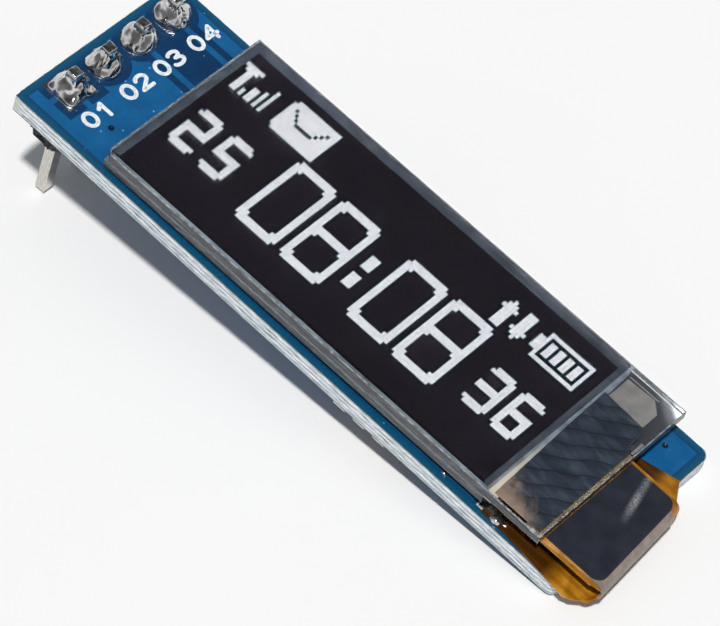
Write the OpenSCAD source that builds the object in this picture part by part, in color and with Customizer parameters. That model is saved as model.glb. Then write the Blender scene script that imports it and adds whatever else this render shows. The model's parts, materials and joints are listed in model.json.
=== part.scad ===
// Small OLED module: a breakout board with a taped-on display panel, a folded
// flex tail at one end and a soldered pin header at the other. All in millimetres.
//
// Every piece is drawn level, in the board's own frame: X runs from the header
// end to the flex end, Y across the board, and Z = 0 is the front face of the
// bare laminate, with the display above it. on_panel() tilts the panel's pieces
// up on the fold of the flex. at_rest() then leans the whole module onto its pin
// tips and its far bottom edge, as it lies on a table.

/* [Board] */
// Length of the circuit board
board_l = 38; // [37:0.5:40]
// Width of the circuit board
board_w = 12; // [12:0.25:15]
// Thickness of the bare laminate
board_t = 1.1; // [0.8:0.1:1.6]
// Corner radius at the flex end
board_r = 0.5; // [0.2:0.1:1]
// Thickness of the copper foil
copper_t = 0.035; // [0.02:0.005:0.07]
// Thickness of the solder mask over the copper
mask_t = 0.02; // [0.01:0.005:0.04]
// Bare margin between the pour and the board's edge
pour_margin = 0.45; // [0.3:0.05:0.6]
// Bare gap between the pour and each pad or trace
pour_gap = 0.4; // [0.25:0.05:0.45]
// Width of the front traces
trace_w = 0.35; // [0.2:0.05:0.5]
// Drill of the small vias
via_d = 0.3; // [0.2:0.05:0.4]

/* [Pin header] */
// Distance between pins
pitch = 2.54; // [2:0.02:2.54]
// Pin row from the board's end
row_x = 1.45; // [1.35:0.05:1.7]
// Pin row off the board's centre line
row_y = 0.35; // [-0.3:0.05:0.4]
// Side of the square pins
pin_w = 0.64; // [0.5:0.02:0.66]
// Pin length above the front of the laminate
pin_up = 1.55; // [1.3:0.05:2.2]
// Pin length below the plastic
pin_down = 5.2; // [3:0.1:8]
// How much higher the two middle pins were pressed in
pin_uneven = 0.02; // [0:0.01:0.05]
// Length of the tapered pin ends
pin_taper = 0.3; // [0.15:0.05:0.4]
// Height of the plastic strip
housing_h = 2.54; // [1.5:0.02:2.6]
// Width of the plastic strip
housing_w = 2.5; // [2.2:0.05:2.6]
// Corner cut between the strip's segments
housing_cut = 0.55; // [0.3:0.05:0.7]
// Finished pin hole
hole_d = 1; // [0.96:0.02:1.1]
// Plating in the pin hole
plating = 0.05; // [0.02:0.01:0.06]
// Size of the pads round the pins
pad_d = 2.1; // [1.8:0.05:2.1]
// Height of the solder joints
solder_h = 1.1; // [0.8:0.05:1.2]

/* [Display panel] */
// Panel from the header end of the board
glass_x = 6; // [5.6:0.1:6.4]
// Length of the front glass
glass_l = 30; // [29:0.5:30.5]
// Width of the panel
glass_w = 11.5; // [11:0.1:12]
// Thickness of the front glass
glass_t = 0.6; // [0.4:0.05:0.9]
// Ledge of the front glass beyond the cap glass
ledge_l = 3.6; // [3.4:0.1:4]
// Thickness of the cap glass
cap_t = 0.5; // [0.4:0.05:0.8]
// Depth of the recess in the cap glass
recess_t = 0.25; // [0.1:0.05:0.3]
// Thickness of the drying sheet
drying_t = 0.12; // [0.05:0.01:0.2]
// Thickness of the sealing resin
seal_t = 0.05; // [0.03:0.01:0.08]
// Width of the sealing resin
seal_w = 0.5; // [0.3:0.05:0.7]
// Widest part of the resin bead on the ledge
bead_w = 0.6; // [0.3:0.05:0.7]
// Thickness of the organic layers
layer_t = 0.02; // [0.01:0.005:0.04]
// Corner cut on the front glass
glass_cut = 0.3; // [0.1:0.05:0.6]
// Thickness of the foam tape at the header end
tape_t = 0.25; // [0.2:0.05:0.6]
// Tilt of the panel, lifted by the fold at its far end, in degrees
panel_tilt = 0.8; // [0:0.1:1]
// Foam tape in from the cap glass
tape_in = 0.3; // [0.1:0.05:0.6]
// Thickness of the polarizer
polarizer_t = 0.18; // [0.1:0.02:0.25]
// Polarizer in from the sides of the glass
polarizer_in = 0.2; // [0.1:0.05:0.4]
// Length of the driver chip
chip_l = 7; // [5:0.2:8]
// Width of the driver chip
chip_w = 0.9; // [0.7:0.05:1]
// Thickness of the driver chip
chip_t = 0.3; // [0.2:0.05:0.4]
// Thickness of the black tape on the ledge
shade_t = 0.06; // [0.04:0.01:0.1]

/* [Lit picture] */
// Width of one dot of the display
dot_w = 0.196; // [0.17:0.001:0.2]
// Height of one dot of the display
dot_h = 0.25; // [0.17:0.005:0.26]
// First dot column from the panel's end
picture_x = 0.35; // [0.3:0.05:0.6]
// Top dot row from the panel's centre line
picture_y = 4.71; // [4.5:0.01:4.8]
// Stroke of the large digits, in dots
stroke = 2.5; // [1.5:0.1:4]

/* [Flex tail] */
// Thickness of the flex
flex_t = 0.1; // [0.06:0.01:0.14]
// Width of the flex where it leaves the panel
neck_w = 7.2; // [6.6:0.1:8]
// Side shift of the neck
neck_y = -1.85; // [-1.95:0.05:-1.2]
// Width of the flex on the board
foot_w = 9.2; // [9:0.1:9.4]
// Side shift of the foot
foot_y = -1.35; // [-1.35:0.05:-0.9]
// Fold line beyond the end of the board
fold_out = 1.05; // [0.7:0.05:1.5]
// Skew of the fold line, in degrees
fold_skew = 4.4; // [0:0.2:5]
// Length of flex bonded under the ledge
bond_l = 1.1; // [0.8:0.1:1.3]
// Thickness of the bonding film
bond_t = 0.02; // [0.01:0.005:0.03]
// Solder under the flex foot
foot_gap = 0.02; // [0.01:0.005:0.04]
// Thickness of the stiffening film
film_t = 0.08; // [0.05:0.01:0.12]
// Width of the stiffening film
film_w = 6.7; // [6:0.05:7]
// How far the film's upper edge stays back under the tape
film_in = 0.5; // [0:0.05:0.8]
// Thickness of the black tape
cover_t = 0.1; // [0.06:0.01:0.15]
// Width of the black tape
cover_w = 6.65; // [5.6:0.05:6.8]
// Corner radius of the black tape
cover_r = 0.6; // [0.3:0.05:1]
// Pitch of the solder joints
finger_pitch = 0.62; // [0.5:0.02:0.62]
// Width of one solder joint
finger_w = 0.36; // [0.25:0.01:0.4]
// Height of one solder joint over the flex
finger_h = 0.14; // [0.08:0.01:0.2]

/* [Parts on the back] */
// Length of the chip resistors and capacitors
part_l = 1.6; // [1.4:0.05:1.7]
// Width of the chip resistors and capacitors
part_w = 0.8; // [0.6:0.05:0.85]
// Height of the resistors
resistor_h = 0.45; // [0.3:0.05:0.6]
// Height of the capacitors
capacitor_h = 0.8; // [0.5:0.05:0.9]
// Length of an end cap
end_l = 0.32; // [0.2:0.02:0.4]
// Gap between the three capacitors at the edge
edge_gap = 1.35; // [1.2:0.05:1.5]
// Length of the regulator's body
reg_l = 2.9; // [2.7:0.05:3]
// Width of the regulator's body
reg_w = 1.3; // [1.2:0.05:1.5]
// Height of the regulator's body
reg_h = 1; // [0.8:0.05:1.1]
// Width of a regulator lead
lead_w = 0.4; // [0.3:0.02:0.5]
// Thickness of a regulator lead
lead_t = 0.12; // [0.1:0.01:0.16]
// Solder under the parts
solder_t = 0.03; // [0.02:0.01:0.05]

/* [Hidden] */
$fn = 48;
EPS = 0.01;      // how far a cut runs past the face it opens

PINS = 4;
FINGERS = 14;
BIG_DIGIT = [14, 21];    // width and height in dots
SMALL_DIGIT = [8, 12];
SEGMENTS = ["abcdef", "bc", "abged", "abgcd", "fgbc", "afgcd", "afgedc", "abc", "abcdefg", "abcdfg"];

// Heights above the laminate, from the board outwards
front_z = copper_t + mask_t;
cap_z = front_z + tape_t;
seal_z = cap_z + cap_t;
glass_z = seal_z + seal_t;
face_z = glass_z + glass_t;
back_z = -board_t - front_z;
housing_z = back_z - housing_h;
tip_z = housing_z - pin_down;

// Lengths along the board
glass_end = glass_x + glass_l;
cap_end = glass_end - ledge_l;
foot_x = cap_end - 0.15;
fold_x = max(board_l, glass_end + 2) + fold_out;

// Fold of the flex: the neck lies against the tilted ledge, the foot on the board
foot_bottom = front_z + foot_gap;
neck_top = glass_z - bond_t;      // before the tilt
fold_r = (neck_top - cap_z + (fold_x - glass_x) * sin(panel_tilt)
          + (cap_z - foot_bottom) * cos(panel_tilt)) / (1 + cos(panel_tilt));
fold_z = foot_bottom + fold_r;
neck_edge = neck_y + neck_w / 2;

// Pins
pin_tip = pin_w / 2 - pin_taper / 2;
pin_y = [for (i = [0:PINS - 1]) row_y + (i - (PINS - 1) / 2) * pitch];

// Vias: beside the header, under the panel, and on the ear beside the flex
VIAS = [
    [glass_x - 1.45, -3.6], [glass_x + 2.2, pin_y[2]], [glass_x + 3.4, pin_y[3]],
    [glass_x + 9, -4.4], [glass_x + 16, 4.6], [glass_x + 21, -2], [board_l - 1.85, 4.6]
];

// Parts on the back: [x, y, turn]
edge_y = -board_w / 2 + 0.2 + part_l / 2 + 0.25;
CAPACITORS = [
    for (i = [0:2]) [23.2 + i * edge_gap, edge_y, 90],
    [13.4, -3.2, 0], [17.2, 3.9, 0], [27.6, 3.2, 90]
];
RESISTORS = [
    [7.2, -4, 90], [9, -4, 90], [20.8, 3.9, 0], [30.2, 1.6, 90], [30.2, -2.2, 90]
];
REGULATOR = [9.6, 2.4];
PART_PAD = [0.75, 0.9];      // pad under each end of a chip part
pad_step = part_l / 2 + 0.05;

// How the module lies: on its pin tips and on the board's far bottom edge
lean = atan((back_z - tip_z) / (board_l - row_x - pin_tip));
lift = board_l * sin(lean) - back_z * cos(lean);
// Farthest points along the table: the pins' shoulders and the film round the fold
low_x = min((row_x - pin_w / 2) * cos(lean) + (tip_z + pin_taper) * sin(lean),
            (row_x - pin_tip) * cos(lean) + tip_z * sin(lean));
fold_dir = [-sin(fold_skew), cos(fold_skew)];
film_end_x = fold_x - fold_dir.x * film_w / 2;
high_x = film_end_x * cos(lean) + fold_z * sin(lean)
       + (fold_r + film_t) * sqrt(1 - pow(fold_dir.x * cos(lean), 2));

module at_rest()
    translate([-(low_x + high_x) / 2, 0, lift]) rotate([0, lean, 0]) children();

// Tilts the panel about its lower edge at the header end
module on_panel()
    translate([glass_x, 0, cap_z]) rotate([0, -panel_tilt, 0])
        translate([-glass_x, 0, -cap_z]) children();

// ---------------------------------------------------------------- helpers

// The board's outline, drawn in by m, with round corners at the flex end
module board_2d(m = 0) {
    r = max(board_r - m, 0.05);
    translate([m, m - board_w / 2]) square([board_l - 2 * m - r, board_w - 2 * m]);
    translate([m, m - board_w / 2 + r]) square([board_l - 2 * m, board_w - 2 * m - 2 * r]);
    for (s = [-1, 1])
        translate([board_l - m - r, s * (board_w / 2 - m - r)]) circle(r);
}

// A flat plate of the shape drawn as a child, from z to z + t
module plate(z, t) translate([0, 0, z]) linear_extrude(t) children();

// Places its child on the back of the board, its own Z pointing away from it
module on_back(p, turn = 0)
    translate([p.x, p.y, -board_t]) rotate([180, 0, 0]) rotate(turn) children();

module pad_2d(i, d) {
    translate([row_x, pin_y[i]])
        if (i == 0) square(d, center = true);
        else circle(d / 2);
}

module vias_2d() for (p = VIAS) translate(p) circle(via_d / 2, $fn = 24);

// ---------------------------------------------------------------- board

module circuit_board() color("darkkhaki") at_rest()
    plate(-board_t, board_t) difference() {
        board_2d();
        for (y = pin_y) translate([row_x, y]) circle(hole_d / 2 + plating);
        vias_2d();
    }

// Where the copper lies on the front, without the pin pads
module front_copper_2d() {
    trace_end = [VIAS[1].x, VIAS[2].x];
    difference() {
        board_2d(pour_margin);
        for (i = [0:PINS - 1]) pad_2d(i, pad_d + 2 * pour_gap);
        // one open field holds both traces
        translate([row_x, pin_y[2] - trace_w / 2 - pour_gap])
            square([trace_end[1] + 0.8 - row_x, pitch + trace_w + 2 * pour_gap]);
        flex_window_2d(0.25);
        vias_2d();
    }
    // traces of the two signal pins
    for (i = [2, 3]) difference() {
        union() {
            translate([row_x + pad_d / 2 - 0.05, pin_y[i] - trace_w / 2])
                square([trace_end[i - 2] - row_x - pad_d / 2 + 0.05, trace_w]);
            translate([trace_end[i - 2], pin_y[i]]) circle(0.3);
        }
        pad_2d(i, pad_d);
        vias_2d();
    }
    // spokes that tie the square pad to the pour
    for (a = [0, -90]) translate([row_x, pin_y[0]]) rotate(a)
        translate([pad_d / 2, -trace_w / 2]) square([pour_gap + EPS, trace_w]);
    // pads under the flex
    for (i = [0:FINGERS - 1]) finger_2d(i);
}

// The window in the pour and mask where the flex is soldered
module flex_window_2d(m = 0)
    translate([foot_x - 0.1 - m, foot_y - foot_w / 2 + 0.3 - m])
        square([2 + 2 * m, foot_w - 0.6 + 2 * m]);

module finger_2d(i)
    translate([foot_x, foot_y + (i - (FINGERS - 1) / 2) * finger_pitch - finger_w / 2])
        square([1.7, finger_w]);

module front_copper() color("peru") at_rest()
    plate(0, copper_t) front_copper_2d();

module front_mask() color("steelblue") at_rest() difference() {
    plate(0, front_z) difference() {
        board_2d();
        for (i = [0:PINS - 1]) pad_2d(i, pad_d);
        flex_window_2d();
        vias_2d();
    }
    plate(-EPS, copper_t + EPS) front_copper_2d();
}

// Where the copper lies on the back, without the pin pads
module back_copper_2d() {
    difference() {
        board_2d(pour_margin);
        for (i = [0:PINS - 1]) pad_2d(i, pad_d + 2 * pour_gap);
        part_pads_2d(0.2);
        vias_2d();
    }
    part_pads_2d(0);
}

// Pads of every part on the back, each grown by m
module part_pads_2d(m) {
    for (p = concat(CAPACITORS, RESISTORS)) translate([p.x, p.y]) rotate(p.z)
        for (s = [-1, 1]) translate([s * pad_step, 0])
            square(PART_PAD + [2 * m, 2 * m], center = true);
    for (l = LEADS) translate([REGULATOR.x + l.x, REGULATOR.y + l.y * 1.15])
        square([0.7 + 2 * m, 0.8 + 2 * m], center = true);
}

module back_copper() color("peru") at_rest()
    plate(-board_t - copper_t, copper_t) back_copper_2d();

module back_mask() color("steelblue") at_rest() difference() {
    plate(back_z, front_z) difference() {
        board_2d();
        for (i = [0:PINS - 1]) pad_2d(i, pad_d);
        part_pads_2d(0);
        vias_2d();
    }
    plate(-board_t - copper_t, copper_t + EPS) back_copper_2d();
}

// Plated holes: a pad on each face and the barrel between them
module pin_pads() color("silver") at_rest()
    for (i = [0:PINS - 1]) difference() {
        union() {
            plate(0, copper_t) pad_2d(i, pad_d);
            plate(-board_t - copper_t, copper_t) pad_2d(i, pad_d);
            translate([row_x, pin_y[i], -board_t]) cylinder(h = board_t, r = hole_d / 2 + plating);
        }
        translate([row_x, pin_y[i], -board_t - 1]) cylinder(h = board_t + 2, d = hole_d);
    }

// ---------------------------------------------------------------- pin header

// One segment of the strip per pin, with cut corners
module header_housing() color("dimgray") at_rest()
    plate(housing_z, housing_h) difference() {
        for (y = pin_y) translate([row_x, y]) {
            c = housing_cut;
            w = housing_w / 2;
            h = pitch / 2;
            polygon([[w, c - h], [w, h - c], [w - c, h], [c - w, h],
                     [-w, h - c], [-w, c - h], [c - w, -h], [w - c, -h]]);
        }
        for (y = pin_y) translate([row_x, y]) square(pin_w, center = true);
    }

// A square pin, tapered at both ends in both directions
module pin_profile_2d() {
    a = pin_w / 2;
    b = pin_tip;
    polygon([[-b, tip_z], [b, tip_z], [a, tip_z + pin_taper], [a, pin_up - pin_taper / 2],
             [a - pin_taper / 4, pin_up], [pin_taper / 4 - a, pin_up],
             [-a, pin_up - pin_taper / 2], [-a, tip_z + pin_taper]]);
}

module pin(i) color("gold") at_rest()
    translate([row_x, pin_y[i], i == 1 || i == 2 ? pin_uneven : 0]) intersection() {
        rotate([90, 0, 0]) linear_extrude(pin_w, center = true) pin_profile_2d();
        rotate([90, 0, 90]) linear_extrude(pin_w, center = true) pin_profile_2d();
    }

module header_pin_1() pin(0);
module header_pin_2() pin(1);
module header_pin_3() pin(2);
module header_pin_4() pin(3);

// Solder: a bell on the pad that runs up the pin, and the fill in the hole
module solder_joint(i) {
    n = 8;
    r0 = pad_d / 2 - 0.03;
    r1 = pin_w * sqrt(2) / 2 + 0.02;
    bell = [for (k = [0:n]) let (t = k / n)
        [r1 + (r0 - r1) * (0.5 + 0.5 * cos(180 * pow(t, 1.15))), copper_t + solder_h * t]];
    color("lightgray") at_rest() translate([row_x, pin_y[i], 0]) difference() {
        union() {
            rotate_extrude() polygon(concat([[0, back_z]], [[hole_d / 2, back_z],
                [hole_d / 2, copper_t]], bell, [[0, copper_t + solder_h]]));
            // the square pad is wetted out to its corners
            if (i == 0) plate(copper_t, 0.08) square(2 * r0, center = true);
        }
        cube([pin_w, pin_w, 40], center = true);
    }
}

module solder_joint_1() solder_joint(0);
module solder_joint_2() solder_joint(1);
module solder_joint_3() solder_joint(2);
module solder_joint_4() solder_joint(3);

// ---------------------------------------------------------------- display panel

// A rectangle on the panel, from x0 to x1, drawn in by m at the sides
module panel_2d(x0, x1, m = 0)
    translate([x0, m - glass_w / 2]) square([x1 - x0, glass_w - 2 * m]);

// Foam tape, squeezed to a slight wedge under the tilted panel
module mounting_tape() color("dimgray") at_rest()
    rotate([90, 0, 0]) linear_extrude(glass_w - 2 * tape_in, center = true) {
        x0 = glass_x + tape_in;
        x1 = cap_end - tape_in - 0.1;
        polygon([[x0, front_z], [x1, front_z],
                 [x1, cap_z + (x1 - glass_x) * tan(panel_tilt)],
                 [x0, cap_z + (x0 - glass_x) * tan(panel_tilt)]]);
    }

module cap_glass() color("lightcyan") at_rest() on_panel() difference() {
    plate(cap_z, cap_t) panel_2d(glass_x, cap_end);
    plate(seal_z - recess_t, recess_t + EPS)
        panel_2d(glass_x + seal_w + 0.5, cap_end - seal_w - 0.5, seal_w + 0.5);
}

module drying_sheet() color("whitesmoke") at_rest() on_panel()
    plate(seal_z - recess_t, min(drying_t, recess_t - 0.05))
        panel_2d(glass_x + seal_w + 1, cap_end - seal_w - 1, seal_w + 1);

// Resin round the rim, with the bead pressed out along the ledge
module seal_frame() color("beige") at_rest() on_panel() plate(seal_z, seal_t) difference() {
    y = glass_w / 2;
    polygon([[glass_x, y], [cap_end, y], [cap_end + 0.1, y - 0.4],
             [cap_end + bead_w, 0.2 - y], [cap_end + bead_w - 0.1, -y], [glass_x, -y]]);
    panel_2d(glass_x + seal_w, cap_end - seal_w, seal_w);
}

// The dark field: organic layers inside the seal, behind the lit dots
module oled_layers() color("midnightblue") at_rest() on_panel()
    plate(glass_z - 2 * layer_t, layer_t)
        panel_2d(glass_x + seal_w, cap_end - seal_w, seal_w);

module substrate_glass() color("azure") at_rest() on_panel() plate(glass_z, glass_t) {
    y = glass_w / 2;
    c = glass_cut;
    polygon([[glass_x + c, -y], [glass_end, -y], [glass_end, y], [glass_x, y], [glass_x, c - y]]);
}

module polarizer() color("darkslategray") at_rest() on_panel()
    plate(face_z, polarizer_t)
        panel_2d(glass_x + polarizer_in, cap_end - 0.05, polarizer_in);

// Cathode lead with a cut corner, a test pad and the fine line beside them
module ledge_metal() color("gray") at_rest() on_panel() plate(glass_z - layer_t, layer_t) {
    x = cap_end + 0.25;
    y = glass_w / 2 - 0.5;
    polygon([[x, y - 0.1], [x + 1.75, y], [x + 2.4, y - 0.6],
             [x + 2.4, neck_edge + 1.25], [x, neck_edge + 1.25]]);
    translate([x, y + 0.07]) square([1.95, 0.06]);
    translate([glass_end - 0.35, neck_edge + 0.08]) square([0.16, 0.9]);
}

module driver_chip() color("slategray") at_rest() on_panel()
    translate([cap_end + 1.55, -0.6, glass_z - bond_t - chip_t / 2])
        cube([chip_w, chip_l, chip_t], center = true);

// Black tape on the ledge, laid slightly askew
module ledge_tape() color("#22252c") at_rest() on_panel() plate(face_z, shade_t) {
    y = glass_w / 2 - 0.2;
    e = neck_edge;
    polygon([[cap_end + 0.1, e + 1.6], [glass_end - 0.75, e + 1.45], [glass_end - 0.6, e + 1.25],
             [glass_end - 0.6, e], [glass_end - 0.25, e - 0.15], [glass_end - 0.2, -y],
             [cap_end + bead_w + 0.05, -y], [cap_end + 0.15, e - 1]]);
}

// ---------------------------------------------------------------- lit picture

// A bar of dots: first column, first row, columns, rows
module dots(c, r, w, h)
    translate([glass_x + picture_x + c * dot_w, picture_y - (r + h) * dot_h])
        square([w * dot_w, h * dot_h]);

// An outline whose corners are given in dots
module dot_shape(points)
    polygon([for (p = points) [glass_x + picture_x + p.x * dot_w, picture_y - p.y * dot_h]]);

// A box of dots with its four corners cut by k dots
module dot_box(c, r, w, h, k)
    dot_shape([[c + k, r], [c + w - k, r], [c + w, r + k], [c + w, r + h - k],
               [c + w - k, r + h], [c + k, r + h], [c, r + h - k], [c, r + k]]);

// One digit built from up to seven bars
module digit(n, c, r, size, s) {
    w = size.x;
    h = size.y;
    m = floor((h - s) / 2);
    bars = [["a", 0, 0, w, s], ["b", w - s, 0, s, m + s], ["c", w - s, m, s, h - m],
            ["d", 0, h - s, w, s], ["e", 0, m, s, h - m], ["f", 0, 0, s, m + s],
            ["g", 0, m, w, s]];
    intersection() {
        dot_box(c, r, w, h, 0.65 * s);
        union() for (b = bars)
            if (len(search(b[0], SEGMENTS[n])) > 0) dots(c + b[1], r + b[2], b[3], b[4]);
    }
}

// Signal strength: an aerial and four rising bars
module signal_icon(c, r) {
    dot_shape([[c, r], [c + 6, r], [c + 6, r + 1.5], [c + 4, r + 3.5], [c + 4, r + 9],
               [c + 2, r + 9], [c + 2, r + 3.5], [c, r + 1.5]]);
    for (i = [0:3]) dots(c + 5 + 2.2 * i, r + 6 - 1.4 * i, 1.5, 3 + 1.4 * i);
}

// An envelope with its flap lines left dark
module mail_icon(c, r) difference() {
    dot_box(c, r, 16, 10, 1);
    for (s = [[2, 2, 5, 5], [14, 2, 11, 5], [2, 8.4, 5, 5.4], [14, 8.4, 11, 5.4]])
        dot_shape([[c + s[0] - 0.3, r + s[1]], [c + s[0] + 0.3, r + s[1]],
                   [c + s[2] + 0.3, r + s[3]], [c + s[2] - 0.3, r + s[3]]]);
    dots(c + 4.8, r + 4.9, 6.4, 0.6);
}

// An arrow, up for s = 1 and down for s = -1, about its middle row
module arrow(c, r, s) dot_shape([
    [c, r - 4 * s], [c + 3.4, r - 0.4 * s], [c + 1.3, r - 0.4 * s], [c + 1.3, r + 4 * s],
    [c - 1.3, r + 4 * s], [c - 1.3, r - 0.4 * s], [c - 3.4, r - 0.4 * s]]);

// A full battery: a frame with its contact and four cells
module battery_icon(c, r) {
    difference() {
        dot_box(c, r, 15, 8, 0.5);
        dots(c + 1.2, r + 1.2, 12.6, 5.6);
    }
    dots(c - 2, r + 2, 2 + EPS, 4);
    for (i = [0:3]) dots(c + 2 + i * 2.9, r + 2, 2.2, 4);
}

module lit_picture() color("white") at_rest() on_panel() plate(glass_z - layer_t, layer_t) {
    digit(0, 32, 11, BIG_DIGIT, stroke);
    digit(8, 48, 11, BIG_DIGIT, stroke);
    for (r = [17, 23]) dot_box(64.5, r, 4, 4, 0.6);
    digit(0, 72, 11, BIG_DIGIT, stroke);
    digit(8, 88, 11, BIG_DIGIT, stroke);
    // plain numbers at both sides
    digit(2, 4, 17, SMALL_DIGIT, 0.7 * stroke);
    digit(5, 15, 17, SMALL_DIGIT, 0.7 * stroke);
    digit(3, 109, 17, SMALL_DIGIT, 0.7 * stroke);
    digit(6, 119, 17, SMALL_DIGIT, 0.7 * stroke);
    signal_icon(1, 0.4);
    mail_icon(18, 0);
    arrow(99.5, 6, 1);
    arrow(105.4, 6, -1);
    battery_icon(112, 2);
}

// ---------------------------------------------------------------- flex tail

// X of the fold line at a place y across the board
function fold_at(y) = fold_x - (y - neck_y) * tan(fold_skew);

// A sheet of thickness t folded in a U round the fold line, its inner radius r.
// The arms run back from the fold, the upper one by top, the lower one by bottom.
module folded_sheet(r, t, top, bottom, w)
    translate([fold_x, neck_y, fold_z]) rotate([90, 0, fold_skew])
        linear_extrude(w, center = true) difference() {
            union() {
                circle(r + t);
                rotate(panel_tilt) translate([-top, 0]) square([top, r + t]);
                if (bottom > 0) translate([-bottom, -r - t]) square([bottom, r + t]);
            }
            circle(r);
            rotate(panel_tilt) translate([-board_l, -r / 2]) square([board_l, 1.5 * r]);
            translate([-board_l, -r]) square([board_l, 1.5 * r]);
            if (bottom == 0) translate([-board_l, -2 * r]) square([board_l, 2 * r]);
        }

// Neck, fold and foot in one sheet. The foot is wider, and narrows round the fold.
module flex_tail() color("goldenrod") at_rest() {
    n0 = neck_y - neck_w / 2;           // sides of the neck
    n1 = neck_edge;
    f0 = foot_y - foot_w / 2;           // sides of the foot
    f1 = foot_y + foot_w / 2;
    m0 = f0 + 0.2;                      // sides of the foot where the fold begins
    m1 = n1 + 0.75;
    z0 = foot_bottom;
    z1 = fold_z + fold_r;
    difference() {
        folded_sheet(fold_r - flex_t, flex_t, 9, 9, 3 * board_w);
        // what lies beside the fold, whose edges are drawn in halfway round
        for (e = [[m0, n0 + 0.5, n0, -1], [m1, n1 - 0.65, n1, 1]])
            translate([fold_x, neck_y, 0]) rotate([90, 0, 90 + fold_skew])
                translate([-neck_y, 0, -EPS]) linear_extrude(5)
                    polygon([[e[0], z0 - 1], [e[0], z0], [e[1], fold_z], [e[2], z1],
                             [e[2], z1 + 1], [e[3] * 30, z1 + 1], [e[3] * 30, z0 - 1]]);
        // what lies round the neck
        plate(fold_z, 2) difference() {
            fold_side_2d();
            polygon([[glass_end - bond_l, n0], [board_l + 9, n0],
                     [board_l + 9, n1], [glass_end - bond_l, n1]]);
        }
        // what lies round the foot
        plate(fold_z - 2, 2) difference() {
            fold_side_2d();
            polygon([[foot_x + 0.35, f0 + 0.15], [foot_x + 2, f0 + 0.1], [fold_x - 1, f0 - 0.3],
                     [fold_x - 0.6, f0 - 0.35], [fold_x - 0.15, f0 - 0.2], [fold_at(m0), m0],
                     [fold_x + 9, m0], [fold_x + 9, m1], [fold_at(m1), m1],
                     [fold_x - 1, f1 + 0.25], [foot_x + 3.6, f1 - 0.3], [foot_x + 0.35, f1 - 0.35]]);
        }
    }
}

// All that lies on the board's side of the fold line
module fold_side_2d()
    translate([fold_x, neck_y]) rotate(fold_skew) translate([-20, -30]) square([20, 60]);

// Bonding film between the ledge and the neck
module bond_film() color("tan") at_rest() difference() {
    on_panel() plate(neck_top - flex_t / 2, bond_t + flex_t / 2)
        translate([glass_end - bond_l, neck_y - neck_w / 2]) square([bond_l - 0.1, neck_w]);
    folded_sheet(fold_r - flex_t, flex_t, 9, 9, 3 * board_w);
}

// Film on the outside of the flex, from the ledge round to the underside
module bend_film() color("rosybrown") at_rest() difference() {
    folded_sheet(fold_r, film_t, 12, 0, film_w);
    plate(0, 4) translate([0, -board_w]) square([glass_end + 0.05, 2 * board_w]);
    plate(-1, 5) translate([fold_x, neck_y]) rotate(fold_skew)
        translate([-20, film_w / 2 - film_in]) square([30, 5]);
}

// Black tape over the film, with round corners on the fold
module flex_tape() color("#22252c") at_rest() intersection() {
    folded_sheet(fold_r + film_t, cover_t, 12, 0, 3 * board_w);
    plate(fold_z, 4) cover_2d();
}

// Its outline: square against the glass, its far edge along the fold line
module cover_2d() {
    x0 = glass_end + 0.05;
    r = cover_r;
    w = cover_w / 2 - r;
    out = [fold_x + (0.33 - r) * fold_dir.y, neck_y];
    a = out - fold_dir * w;             // centres of the round corners
    b = out + fold_dir * w;
    polygon(concat([[x0, a.y - r]],
        [for (k = [0:8]) let (t = (90 + fold_skew) * k / 8 - 90) a + r * [cos(t), sin(t)]],
        [for (k = [0:8]) let (t = fold_skew + (90 - fold_skew) * k / 8) b + r * [cos(t), sin(t)]],
        [[x0, b.y + r]]));
}

// Solder joints: each holds the end of the flex, from its pad up over the finger
module flex_solder() color("lightgray") at_rest() for (i = [0:FINGERS - 1]) {
    a = foot_bottom;
    b = foot_bottom + flex_t;
    h = finger_h;
    translate([foot_x, foot_y + (i - (FINGERS - 1) / 2) * finger_pitch, 0])
        rotate([90, 0, 0]) linear_extrude(finger_w, center = true)
            polygon([[0, copper_t], [1.7, copper_t], [1.7, a], [0.35, a], [0.35, b], [1.6, b],
                     [1.45, b + 0.6 * h], [1.2, b + h], [0.5, b + h], [0.25, b + 0.5 * h],
                     [0.1, a + 0.03], [0, copper_t + 0.01]]);
}

// ---------------------------------------------------------------- parts on the back

LEADS = [[-0.95, -1], [0.95, -1], [0, 1]];
part_z = copper_t + solder_t;

// The body of a chip part between its end caps
module chip_body(p, h) on_back(p, p.z) translate([0, 0, part_z + 0.02])
    linear_extrude(h - 0.04) square([part_l - 2 * end_l, part_w - 0.04], center = true);

// End caps: a metal block wrapped over each end
module chip_ends(p, h) on_back(p, p.z) for (s = [-1, 1])
    translate([s * (part_l - end_l) / 2, 0, part_z]) linear_extrude(h)
        square([end_l, part_w], center = true);

// Solder under one end cap and up its face, as a concave wedge
module chip_solder(p, h) on_back(p, p.z) for (s = [0, 180]) rotate(s) {
    x0 = part_l / 2 - end_l;
    x1 = part_l / 2;
    x2 = pad_step + PART_PAD.x / 2;
    top = min(0.6 * h, 0.45);
    rotate([90, 0, 0]) linear_extrude(part_w - 0.06, center = true)
        polygon([[x0, copper_t], [x2, copper_t], [x2, copper_t + 0.02],
                 [x1 + 0.12, part_z + 0.3 * top], [x1, part_z + top], [x1, part_z], [x0, part_z]]);
}

module capacitor(i) color("tan") at_rest() chip_body(CAPACITORS[i], capacitor_h);
module capacitor_1() capacitor(0);
module capacitor_2() capacitor(1);
module capacitor_3() capacitor(2);
module capacitor_4() capacitor(3);
module capacitor_5() capacitor(4);
module capacitor_6() capacitor(5);
module capacitor_ends() color("silver") at_rest()
    for (p = CAPACITORS) chip_ends(p, capacitor_h);

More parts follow.
